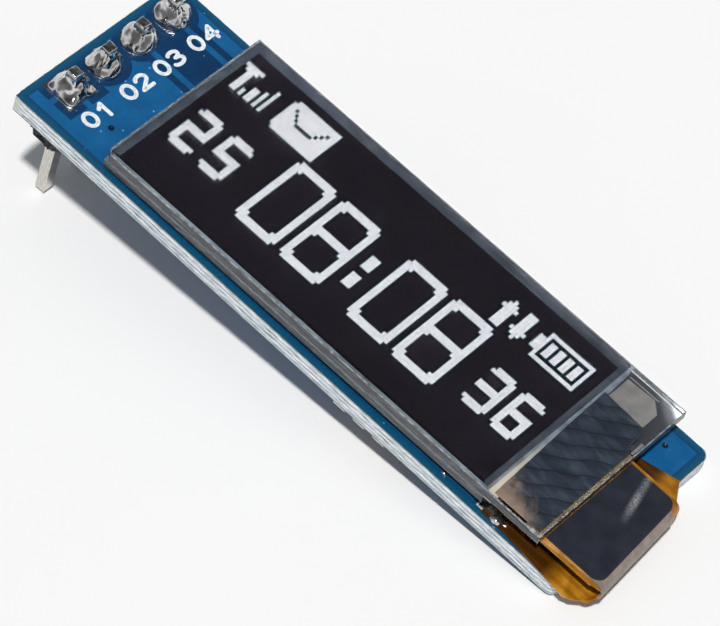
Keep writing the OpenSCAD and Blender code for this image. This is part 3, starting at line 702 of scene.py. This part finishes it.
# %% Solder look
solder = Look("solder", rough=0.14, metal=1.0)
tarnish = solder.noise(1.6, 3, distortion=0.8)
solder.colour(solder.ramp(tarnish, (0.3, lin(168, 165, 162)), (0.5, lin(206, 206, 205)),
                          (0.7, lin(228, 228, 228))))
solder.rough(solder.noise(2.4, 3), 0.04, 0.2)
solder.bump(solder.noise(2.6, 3, distortion=0.4), 0.04, 0.5)
print("solder nodes:", len(solder.tree.nodes))

# %% [markdown]
# The bell is one skin of rings. Its profile says how wide each ring is, how high, and how
# far it has turned from round to square. A low collar of solder shows on the back too.

# %% Solder joints
PROFILE = (  # radius, height, how square
    (1.03, 0.035, 0), (1.05, 0.12, 0), (1.01, 0.27, 0), (0.92, 0.45, 0), (0.80, 0.62, 0),
    (0.68, 0.78, 0.1), (0.57, 0.92, 0.25), (0.48, 1.05, 0.45), (0.415, 1.17, 0.7),
    (0.375, 1.28, 0.9), (0.36, 1.38, 1), (0.35, 1.47, 1), (0.325, 1.54, 1), (0.25, 1.575, 1),
    (0.12, 1.585, 1))
COLLAR = ((1.0, 0.012), (0.9, 0.10), (0.62, 0.2), (0.36, 0.33))     # radius, depth below the board
AROUND, BELL_H = 40, 1.6
LEANS = ((0.10, 0.05, 0.20), (0.06, -0.05, 0.15), (0.02, 0.06, 0.13), (0.08, 0.04, 0.17))


def joint(i, lean_x, lean_y, seed, lumps):
    """One bell of solder round pin i, and its collar on the back."""
    bm = bmesh.new()
    rings = []
    for r, z, square in PROFILE:
        lean = math.sin(z / BELL_H * math.pi)
        ring = []
        for k in range(AROUND):
            a = math.tau * k / AROUND
            c, s = math.cos(a), math.sin(a)
            boxy = 1 / max(abs(c), abs(s))
            power = 1 - square + square * 0.90 * boxy
            if i == 0 and z < 0.3:
                power = min(boxy, 1.33) * 0.97
            x, y = r * power * c + lean_x * lean, r * power * s + lean_y * lean
            q = (x, y, z)
            push = lumps * min(1, z / 0.2) * (1 - 0.62 * square)
            n = fbm(q, 1.5, seed) * push + fbm(q, 3.4, seed + 4) * push * 0.35
            lift = push * 0.7 * fbm(q, 1.7, seed + 9) * (z > 0.05)
            ring.append(bm.verts.new((ROW_X + x + c * n, PIN_Y[i] + y + s * n, z + lift)))
        rings.append(ring)
    skin(bm, rings)
    bm.faces.new(rings[-1])
    skin(bm, [circle(bm, ROW_X, PIN_Y[i], r, BACK_Z - depth, 24,
                     lambda k: 0.03 * fbm((k, r, 0), 0.7, seed)) for r, depth in COLLAR])
    bmesh.ops.recalc_face_normals(bm, faces=bm.faces)
    obj = piece(f"solder_bell_{i + 1}", bm, BOARD, solder,
                (f"solder_joint_{i + 1}",), smooth=True)
    obj.modifiers.new("round", "SUBSURF").render_levels = 1


for i, (lean_x, lean_y, lumps) in enumerate(LEANS):
    joint(i, lean_x, lean_y, 11.3 * i + 2, lumps)

# %% [markdown]
# The pins are tinned brass, drawn through a die, so faint lines run along them. Their CAD
# shape is exact enough to keep, and only needs the metal's finish.

# %% Pins and pads
tin = Look("tinned_pin", rough=0.3, metal=1.0)
drawn = tin.noise(3, 3, tin.stretched((6, 6, 0.6)))
tin.colour(tin.ramp(drawn, (0.3, lin(176, 172, 166)), (0.7, lin(226, 222, 214))))
tin.rough(drawn, 0.22, 0.42)
tin.bump(drawn, 0.006, 0.5)
pads = Look("tinned_pad", rough=0.3, metal=1.0)
pads.colour(pads.ramp(pads.noise(2.5, 3), (0.3, lin(132, 126, 116)), (0.7, lin(190, 186, 178))))
pads.rough(pads.noise(4, 3), 0.2, 0.5)
pads.bump(pads.noise(7, 3), 0.02, 0.6)
wear([f"header_pin_{i}" for i in range(1, 5)], tin)
wear(["pin_pads"], pads)

# %% [markdown]
# The plastic strip under the board was broken off a longer one, so its ends are torn.
# Its few flat faces can't be roughened, so a Remesh modifier first turns them into an
# even skin of small quads. Sculpting would do the same by hand.

# %% Even skin

def reskinned(name, node, place, voxel):
    """A CAD node remeshed in millimetres, as an even skin of quads."""
    bm = cad_copy(node, place)
    mesh = bpy.data.meshes.new(name)
    bm.to_mesh(mesh)
    bm.free()
    rough_piece = link(bpy.data.objects.new(name, mesh))
    remesh = rough_piece.modifiers.new("skin", "REMESH")
    remesh.mode, remesh.voxel_size = "VOXEL", voxel
    graph = bpy.context.evaluated_depsgraph_get()
    made = bpy.data.meshes.new_from_object(rough_piece.evaluated_get(graph))
    bpy.data.objects.remove(rough_piece)
    out = bmesh.new()
    out.from_mesh(made)
    print("skin of", node, "has", len(out.faces), "faces")
    return out


strip = reskinned("strip", "header_housing", BOARD, 0.085)

# %% [markdown]
# Smooth noise then pushes the skin about: hardly at all in the middle, and more towards
# both broken ends.

# %% Plastic strip
plastic = Look("header_plastic", rough=0.3)
plastic.colour(plastic.ramp(plastic.noise(2.2, 3), (0.3, lin(16, 17, 20)), (0.7, lin(34, 36, 40))))
plastic.rough(plastic.noise(3, 3), 0.2, 0.5)
plastic.bump(plastic.noise(6, 4), 0.03, 0.6)
ENDS = (PIN_Y[0] - PITCH / 2, PIN_Y[3] + PITCH / 2)
for v in strip.verts:
    c = v.co
    end = max(0, 1 - min(abs(c.y - ENDS[0]), abs(c.y - ENDS[1])) / 0.7)
    torn = end * (0.26 * fbm(c, 1.8, 4) + 0.16 * fbm(c, 4.5, 6) - 0.08)
    worn = 0.02 * fbm(c, 2.5, 8)
    if BACK_Z - 0.08 > c.z > HOUSING_Z + 0.06:
        v.co += Vector((worn * math.copysign(1, c.x - ROW_X),
                        torn * math.copysign(1, c.y - ROW_Y), 0))
        v.co.x += 0.24 * end * fbm(c, 2.2, 12)
piece("pin_strip", strip, BOARD, plastic, ("header_housing",), smooth=True)

# %% [markdown]
# ## The display panel
# Two glasses with the lit layers between them, and a grey film on top. The front glass
# and the film refract for real, since the ledge and the picture are seen through them.
# They cast no shadow, because light through glass would need many more samples.

# %% Glass and film
glass = Look("glass", base=(0.93, 0.97, 0.97, 1), rough=0.02, place=PANEL,
             Transmission_Weight=1.0, IOR=1.5)
glass.bump(glass.noise(0.4, 2), 0.01, 0.2)
wear(["substrate_glass"], glass)
cap = Look("cap_glass", rough=0.3, place=PANEL, Transmission_Weight=0.35)
cap.colour(cap.ramp(cap.noise(2, 3, cap.stretched((0.2, 1, 6))),
                    (0.3, lin(52, 58, 64)), (0.7, lin(104, 112, 118))))
cap.bump(cap.noise(4, 3), 0.01, 0.4)
wear(["cap_glass"], cap)
film = Look("polarizer", rough=0.03, place=PANEL, Transmission_Weight=1.0, IOR=1.45)
film.colour(film.ramp(film.noise(0.5, 2), (0.3, lin(141, 140, 145)), (0.7, lin(147, 146, 150))))
film.bump(film.noise(0.7, 2), 0.01, 0.2)
wear(["polarizer"], film)
for n in ("cap_glass", "substrate_glass", "polarizer", "seal_frame"):
    nodes[n].visible_shadow = False

# %% [markdown]
# A scribed and broken glass edge is grey and streaky, with bright thin lines along its
# corners and small chips. A bevel would be too regular, so strips of their own, just
# outside the glass, carry the chips and a number that says where the corners are.

# %% Ground edges
RIM = (  # inward, share of the height, offset, how far chips cut in and down, across
    (0.055, 1.0, 0.004, 1.0, 0.0, 0.0), (0.0, 1.0, -0.035, 0.0, 0.6, 0.12),
    (-0.004, 0.7, 0, 0, 0, 0.3), (-0.004, 0.5, 0, 0, 0, 0.5), (-0.004, 0.3, 0, 0, 0, 0.7),
    (0.0, 0.0, 0.035, 0, 0, 0.88), (0.05, 0.0, -0.004, 0, 0, 1.0))


def ground_edge(name, outline, low, high, look, seed):
    """A streaky strip just outside the side faces of a glass, with chipped corners."""
    bm = bmesh.new()
    across = bm.verts.layers.float.new("across")
    sides = len(outline)
    s = 0.0
    for k in range(sides):
        (x0, y0), (x1, y1) = outline[k], outline[(k + 1) % sides]
        length = math.hypot(x1 - x0, y1 - y0)
        nx, ny = (y1 - y0) / length, (x0 - x1) / length
        n = max(2, round(length / 0.11))
        side = []
        for i in range(n + 1):
            t = i / n
            chip = max(0, fbm((s + length * t, seed, 0), 1.9, seed) - 0.42) * 0.35
            column = []
            for inward, share, offset, chip_in, chip_down, a in RIM:
                wave = 0.006 * fbm((s + length * t, a * 3, seed), 3, seed)
                out = 0.008 - inward - chip * chip_in + wave
                z = low + (high - low) * share + offset - chip * chip_down
                v = bm.verts.new((x0 + (x1 - x0) * t + nx * out, y0 + (y1 - y0) * t + ny * out, z))
                v[across] = a
                column.append(v)
            side.append(column)
        s += length
        for a, b in zip(side, side[1:]):
            for j in range(len(RIM) - 1):
                bm.faces.new((a[j], a[j + 1], b[j + 1], b[j]))
    bmesh.ops.recalc_face_normals(bm, faces=bm.faces)
    return piece(name, bm, PANEL, look)


print("rim profile:", len(RIM), "points")

# %% [markdown]
# The edge's look is dark, with long streaks, and pale only along the corners. The number
# stored on the strip says where they are, and noise breaks the pale line into sparks.

# %% Ground glass
ground = Look("ground_glass", rough=0.22, place=PANEL)
at = ground.add("ShaderNodeAttribute", attribute_name="across").outputs["Fac"]
streak = ground.noise(1.0, 4, ground.stretched((0.5, 0.5, 9)), distortion=0.3)
body_tone = ground.ramp(streak, (0.36, lin(22, 25, 30)), (0.5, lin(44, 48, 54)),
                        (0.54, lin(104, 108, 112)), (0.58, lin(36, 40, 46)),
                        (0.72, lin(60, 64, 70)))
corner = ground.ramp(at, (0.0, 1.0), (0.13, 0.85), (0.2, 0.0), (0.86, 0.0), (0.93, 0.8), (1.0, 0.7))
spark = ground.ramp(ground.noise(4, 3), (0.4, 0.25), (0.62, 1.0))
ground.colour(ground.mix(ground.math("MULTIPLY", corner, spark), body_tone, lin(150, 153, 156)))
ground.bump(streak, 0.02, 0.6)
CUT, HALF = 0.3, GLASS_W / 2                     # the cut corner, half the width
CAP_LOW, CAP_HIGH = 0.31, 0.80
ground_edge("front_glass_edges", [(GLASS_X + CUT, -HALF), (GLASS_END, -HALF), (GLASS_END, HALF),
                                  (GLASS_X, HALF), (GLASS_X, CUT - HALF)],
            GLASS_Z, FACE_Z, ground, 3)
ground_edge("cap_glass_edges", [(GLASS_X, -HALF), (CAP_END, -HALF), (CAP_END, HALF),
                                (GLASS_X, HALF)],
            CAP_LOW, CAP_HIGH, ground, 8)

# %% [markdown]
# The seal is grey resin, darkened by the film that covers it, and pressed out as a cream
# bead at one corner of the ledge. The place of the bead comes from two ramps over the
# panel's X and Y; a painted mask would need an image.

# %% Resin
resin = Look("resin", rough=0.35, place=PANEL)
rx, ry = resin.axis(0), resin.axis(1)
grey = resin.ramp(resin.noise(1.2, 3), (0.3, lin(66, 76, 88)), (0.6, lin(104, 114, 124)))
out = resin.ramp(resin.math("SUBTRACT", rx, CAP_END - 0.4), (0.36, 0.0), (0.42, 1.0))
toward = resin.ramp(resin.math("MULTIPLY_ADD", ry, -0.1, 0.42), (0.35, 0.0), (0.95, 1.0),
                    smooth=True)
resin.colour(resin.mix(resin.math("MULTIPLY", out, toward), grey, lin(184, 176, 158)))
resin.bump(resin.noise(3, 3), 0.02, 0.5)
wear(["seal_frame"], resin)

# %% [markdown]
# Many finishes are only two close tones and a fine bump. One function makes such a look
# and gives it to its nodes. The unlit layers behind the glass are the first to wear one.

# %% Plain finishes
def mottled(name, where, tones, patches, grain, depth, strength, **basics):
    """Two close tones in soft patches, and a fine grain as bump."""
    look = Look(name, **basics)
    look.colour(look.ramp(look.noise(*patches), (0.3, lin(*tones[0])), (0.7, lin(*tones[1]))))
    look.bump(look.noise(*grain), depth, strength)
    wear(where, look)
    return look


mottled("organic", ["oled_layers"], ((27, 22, 30), (34, 28, 36)), (0.3, 3), (1, 2), 0.002, 0.2,
        rough=0.25, place=PANEL)

# %% [markdown]
# Behind the ledge glass lies a thin dark sheet of painted shade, standing in for the shade
# under the ledge. Towards the free corner it turns to a painted white, where the white of the
# room would show through the glass. It is one thin sheet with a ramp along a slanting line.

# %% Painted ledge shade
shade_and_light_sheet = Look("ledge_shade_and_light_sheet", rough=0.4, place=PANEL)
fx = shade_and_light_sheet.math("SUBTRACT", shade_and_light_sheet.axis(0), CAP_END)
fy = shade_and_light_sheet.axis(1)
fade = shade_and_light_sheet.math("MULTIPLY_ADD", fx, 0.30, shade_and_light_sheet.math("MULTIPLY_ADD", fy, 0.42, -2.55))
fade = shade_and_light_sheet.math("MULTIPLY_ADD", shade_and_light_sheet.noise(0.8, 2), 0.25, fade)
# painted shade, fading to a painted white where the room would show through the glass
shade_and_light_sheet.colour(shade_and_light_sheet.ramp(fade, (0.4, lin(30, 32, 38)), (0.72, lin(84, 86, 92)),
                      (1.0, lin(228, 229, 232)), smooth=True))
shade_and_light_sheet.bump(shade_and_light_sheet.noise(3, 2), 0.01, 0.3)
SHADE_AND_LIGHT_SHEET_Z = GLASS_Z - 0.026
SHADE_AND_LIGHT_SHEET = [(32.36, -5.68), (33.25, -5.68), (33.25, 1.85), (34.85, 1.85), (34.85, 2.0), (35.93, 2.0),
        (35.93, 5.68), (32.36, 5.68)]
piece("ledge_shade_and_light_sheet", sheet(SHADE_AND_LIGHT_SHEET, 0.3, lambda x, y: SHADE_AND_LIGHT_SHEET_Z, SHADE_AND_LIGHT_SHEET_Z - 0.004), PANEL, shade_and_light_sheet)

# %% [markdown]
# Behind the glass lie a dull grey metal pattern, the bare driver chip and the foam tape
# that holds the panel. They are half hidden, so their CAD shapes are kept, each with a
# finish of its own.

# %% Metal, chip and foam
mottled("cathode_lead", ["ledge_metal"], ((128, 126, 126), (146, 143, 142)), (2, 3), (6, 2),
        0.003, 0.3, rough=0.35, metal=0.4, place=PANEL)
mottled("silicon", ["driver_chip"], ((38, 40, 48), (58, 60, 68)), (2, 3), (4, 2), 0.002, 0.3,
        rough=0.15, metal=0.8, place=PANEL)
mottled("drying_sheet", ["drying_sheet"], ((170, 172, 170), (204, 206, 202)), (4, 4), (9, 3),
        0.02, 0.6, rough=0.9, place=PANEL)
foam = Look("foam_tape", rough=0.9, place=PANEL)
foam.colour(foam.ramp(foam.noise(5, 4), (0.3, lin(22, 24, 28)), (0.7, lin(46, 50, 56))))
foam.bump(foam.cells(7), 0.04, 0.8)
wear(["mounting_tape"], foam)

# %% [markdown]
# The picture is made of separate dots, so slanted outlines step as they do on a real dot
# matrix. A grid of rays asks the CAD picture which dots are lit: three hits out of four
# are enough. An Array with a mask would need the picture as an image.

# %% Which dots are lit
from mathutils.bvhtree import BVHTree

DOT_W, DOT_H, LEFT, TOP = 0.196, 0.25, GLASS_X + 0.35, 4.71
ROWS_TRIED, COLUMNS_TRIED = range(-2, 40), range(-2, 132)
picture = cad_copy("lit_picture", PANEL)
tree = BVHTree.FromBMesh(picture)
picture.free()


def is_lit(c, r):
    """Whether the CAD picture covers most of this dot."""
    hits = 0
    for u, v in ((0.3, 0.3), (0.3, 0.7), (0.7, 0.3), (0.7, 0.7)):
        at = Vector((LEFT + (c + u) * DOT_W, TOP - (r + v) * DOT_H, 5))
        hits += tree.ray_cast(at, Vector((0, 0, -1)))[0] is not None
    return hits >= 3


on = [(c, r) for c in COLUMNS_TRIED for r in ROWS_TRIED if is_lit(c, r)]
print("lit dots:", len(on))

# %% [markdown]
# Each lit dot is a small glowing plate. A faint, wider plate behind it gives the bluish
# fringe that bright dots have under glass. Glare in a compositor would do it too.

# %% Lit dots
def plates(grow, z, thick):
    """A plate for each lit dot, wider than the dot by grow on each side."""
    bm = bmesh.new()
    for c, r in on:
        x0, x1 = LEFT + c * DOT_W - grow, LEFT + (c + 1) * DOT_W + grow
        y1, y0 = TOP - r * DOT_H + grow, TOP - (r + 1) * DOT_H - grow
        corners = ((x0, y0), (x1, y0), (x1, y1), (x0, y1))
        front, back = ([bm.verts.new((x, y, h)) for x, y in corners] for h in (z, z - thick))
        bm.faces.new(front)
        skin(bm, [front, back])
    bmesh.ops.recalc_face_normals(bm, faces=bm.faces)
    return bm


def glow(name, colour, strength):
    """A look that gives light, a little uneven from dot to dot."""
    look = Look(name, base=(0, 0, 0, 1), rough=0.5, place=PANEL)
    dimmer = tuple(v * 0.9 for v in colour[:3]) + (1,)
    tone = look.ramp(look.noise(4, 2), (0.3, dimmer), (0.7, colour))
    look.join(tone, look.shader.inputs["Emission Color"])
    look.shader.inputs["Emission Strength"].default_value = strength
    return look


piece("lit_dots", plates(-0.005, GLASS_Z - 0.004, 0.008), PANEL,
      glow("lit_dots", lin(234, 233, 232), 4.3), ("lit_picture",))
piece("dot_glow", plates(0.05, GLASS_Z - 0.0165, 0.002), PANEL,
      glow("dot_glow", lin(70, 150, 165), 0.8))

# %% [markdown]
# ## Tapes and flex
# The black tape on the ledge has lifted in soft ripples that run aslant. A Wave modifier
# makes straight, even ripples; a sine with a little noise in it wanders as tape does.

# %% Ripples
TAPE_Z = FACE_Z + 0.06
TAPE = [(32.5, 3.35), (35.25, 3.2), (35.4, 3.0), (35.4, 1.75), (35.75, 1.6), (35.8, -5.55),
        (32.8, -5.55), (32.55, 0.75)]


def ripple(x, y):
    """How many ripples lie between the corner and this point."""
    return 1.12 * (-0.62 * x + 0.78 * y) + 0.2 * noise.noise((x * 0.5, y * 0.5, 2))


def tape_height(x, y):
    """Height of the lifted tape, a soft wave along the ripples."""
    return TAPE_Z - 0.014 + 0.014 * math.sin(math.tau * ripple(x, y))


rippled = sheet(TAPE, 0.075, tape_height, FACE_Z + 0.002)
print("rippled tape:", len(rippled.faces), "faces")

# %% [markdown]
# Its corner near the long edge has gone warm grey where glue shows through, and fine
# creases follow the ripples, with painted shade: dark along each crease and a gradient
# between them, as the ripples would shade. Both are ramps over slanting sums of X and Y.

# %% Ledge tape
tape = Look("ledge_tape", rough=0.3, place=PANEL)
tx, ty = tape.axis(0), tape.axis(1)
smear = tape.noise(1.3, 4, tape.stretched((0.5, 1.4, 1)), distortion=0.7)
tone = tape.ramp(smear, (0.3, lin(33, 40, 50)), (0.55, lin(48, 57, 69)), (0.75, lin(64, 74, 86)))
slant = tape.math("MULTIPLY_ADD", tx, -0.694, tape.math("MULTIPLY", ty, 0.874))
slant = tape.math("FRACT", tape.math("MULTIPLY_ADD", tape.noise(0.45, 2), 1.0, slant))
# painted shade of the ripples, a dark line at each crease and a gradient across each wave; the same
# ramp bumps the creases
crease_and_shade = tape.ramp(slant, (0.0, 0.85), (0.07, 0.1), (0.45, 0.0), (0.88, 0.3), (1.0, 0.85))
tone = tape.mix(crease_and_shade, tone, lin(20, 24, 32))
warm = tape.math("MULTIPLY_ADD", ty, -0.34, tape.math("MULTIPLY_ADD", tx, -0.20, 5.35))
blotch = tape.math("MULTIPLY", tape.noise(1.1, 4, distortion=1.2), 0.9)
warm = tape.ramp(tape.math("ADD", warm, blotch), (0.35, 0.0), (1.1, 0.7), smooth=True)
tape.colour(tape.mix(warm, tone, lin(160, 136, 118)))
tape.rough(smear, 0.22, 0.42)
tape.bump(crease_and_shade, -0.02, 0.7).bump(tape.noise(7, 3), 0.006, 0.5)
piece("rippled_tape", rippled, PANEL, tape, ("ledge_tape",), smooth=True)

# %% [markdown]
# The flex is amber polyimide with copper lines inside, darker where it lies in the shade
# under the panel. Its folded CAD solid is kept. The lines could be modelled, but they
# are thinner than the film, so a repeating ramp draws them.

# %% Flex
amber = Look("polyimide", rough=0.2, Coat_Weight=0.4, Coat_Roughness=0.1)
ax, ay = amber.axis(0), amber.axis(1)
tone = amber.ramp(amber.noise(0.9, 4, distortion=0.5), (0.3, lin(128, 80, 10)),
                  (0.55, lin(172, 116, 26)), (0.75, lin(196, 142, 60)))
LINES_PER_MM = 1.61
line = amber.math("FRACT", amber.math("MULTIPLY", ay, LINES_PER_MM))
line = amber.math("ABSOLUTE", amber.math("SUBTRACT", line, 0.5))
line = amber.ramp(line, (0.16, 1.0), (0.2, 0.0))
under = amber.ramp(amber.axis(2), (0.30, 1.0), (0.45, 0.0))
deep = amber.ramp(amber.math("MULTIPLY_ADD", ax, 0.28, -9.6), (0.7, 1.0), (1.08, 0.0),
                  smooth=True)
tone = amber.mix(amber.math("MULTIPLY", under, deep), tone, lin(58, 34, 6))
amber.colour(amber.mix(amber.math("MULTIPLY", line, 0.35), tone, lin(96, 52, 8)))
amber.bump(line, 0.01, 0.5).bump(amber.noise(4, 3), 0.01, 0.4)
wear(["flex_tail"], amber)

# %% [markdown]
# A stiff film lies over the flex; it is clear, so it shows amber, and round the fold it goes
# grey with a painted reflection of the white table on the bend.

# %% Stiff film
stiff = Look("stiff_film", rough=0.42)
to_fold = stiff.math("SUBTRACT", stiff.axis(0), BOARD_L + 0.2)
to_fold = stiff.ramp(to_fold, (0.2, 0.0), (1.0, 1.0), smooth=True)
# painted reflection of the white table on the bend of the fold
bend_reflection = stiff.ramp(stiff.noise(2, 3), (0.3, lin(118, 106, 98)), (0.7, lin(146, 132, 122)))
clear = stiff.ramp(stiff.noise(1.4, 3), (0.3, lin(150, 102, 34)), (0.7, lin(204, 152, 86)))
stiff.colour(stiff.mix(to_fold, clear, bend_reflection))
stiff.bump(stiff.noise(5, 3), 0.01, 0.4)
wear(["bend_film"], stiff)

# %% [markdown]
# The black tape on top carries a painted highlight, pale along one band where it bends down
# to the fold and catches the light. The band is the distance to a slanting line, broken up
# by fine grain.

# %% Black tape
cover = Look("black_tape", rough=0.36)
cx, cy = cover.axis(0), cover.axis(1)
grain = cover.noise(9, 4, distortion=0.4)
tone = cover.ramp(cover.noise(0.8, 4), (0.3, lin(24, 27, 36)), (0.7, lin(37, 42, 54)))
band = cover.math("SUBTRACT", cx, cover.math("MULTIPLY_ADD", cy, -0.26, 37.62))
band = cover.math("ABSOLUTE", band)
band = cover.ramp(band, (0.0, 1.0), (0.34, 0.0), smooth=True)
reach = cover.ramp(cover.math("MULTIPLY_ADD", cy, 0.4, 0.72), (0.0, 0.0), (0.75, 1.0),
                   (1.3, 0.55), smooth=True)
broken = cover.ramp(grain, (0.35, 0.25), (0.65, 1.0))
# painted highlight along the bend of the tape
bend_highlight = cover.math("MULTIPLY", cover.math("MULTIPLY", band, reach), broken)
cover.colour(cover.mix(bend_highlight, tone, lin(150, 150, 156)))
cover.rough(cover.noise(2, 3), 0.3, 0.5)
cover.bump(grain, 0.008, 0.5)
wear(["flex_tape"], cover)
mottled("bonding_film", ["bond_film"], ((96, 84, 66), (140, 124, 100)), (3, 3), (6, 2), 0.01, 0.4,
        rough=0.3, place=PANEL)

# %% [markdown]
# Bits of solder left at the edge of the flex window catch the light. They are small
# lumpy balls, drawn out along the board.

# %% Solder beads
BEADS = ((33.45, -5.68, 0.19, 1.7), (33.95, -5.52, 0.12, 1.3), (29.9, -5.62, 0.09, 2.0),
         (34.6, -5.5, 0.06, 1.2))              # X, Y, radius, how long
beads = bmesh.new()
for x, y, r, long in BEADS:
    blob = bmesh.ops.create_icosphere(beads, subdivisions=3, radius=r)["verts"]
    for v in blob:
        v.co *= 1 + 0.35 * fbm(v.co, 6, x)
        v.co.x *= long
        v.co += Vector((x, y, FRONT_Z + r * 0.75))
joints = Look("part_solder", rough=0.25, metal=1.0)
joints.colour(joints.ramp(joints.noise(3, 3), (0.3, lin(150, 148, 144)), (0.7, lin(222, 221, 218))))
joints.rough(joints.noise(5, 3), 0.12, 0.4)
joints.bump(joints.noise(6, 3), 0.02, 0.5)
piece("solder_beads", beads, BOARD, joints, smooth=True)
wear(["flex_solder", "part_solder"], joints)

# %% [markdown]
# ## Parts on the back
# Ceramic capacitors and resistors with tinned ends. They are boxes in reality too, so the
# CAD shapes serve, and only the fired, glazed and tinned finishes differ.

# %% Ceramic parts
mottled("capacitor_ceramic", [f"capacitor_{i}" for i in range(1, 7)],
        ((150, 118, 84), (184, 152, 116)), (5, 4), (12, 3), 0.01, 0.6, rough=0.55)
mottled("resistor_glaze", [f"resistor_{i}" for i in range(1, 6)],
        ((20, 20, 23), (38, 38, 43)), (4, 3), (9, 2), 0.006, 0.4, rough=0.3)
ends = mottled("tinned_end", ["regulator_leads", "capacitor_ends", "resistor_ends"],
               ((178, 176, 172), (222, 220, 216)), (4, 3), (9, 3), 0.01, 0.5, metal=1.0)
ends.rough(ends.noise(6, 3), 0.22, 0.45)

# %% [markdown]
# A small moulded regulator has a matte, gritty body. The copper foil only shows at its
# cut sides and under the solder.

# %% Regulator and copper
mottled("moulded_body", ["regulator_body"], ((28, 28, 31), (44, 44, 47)), (5, 4), (14, 3),
        0.015, 0.7, rough=0.6)
mottled("copper", ["front_copper", "back_copper"], ((176, 112, 76), (214, 150, 112)), (4, 3),
        (8, 2), 0.005, 0.4, rough=0.35, metal=1.0)
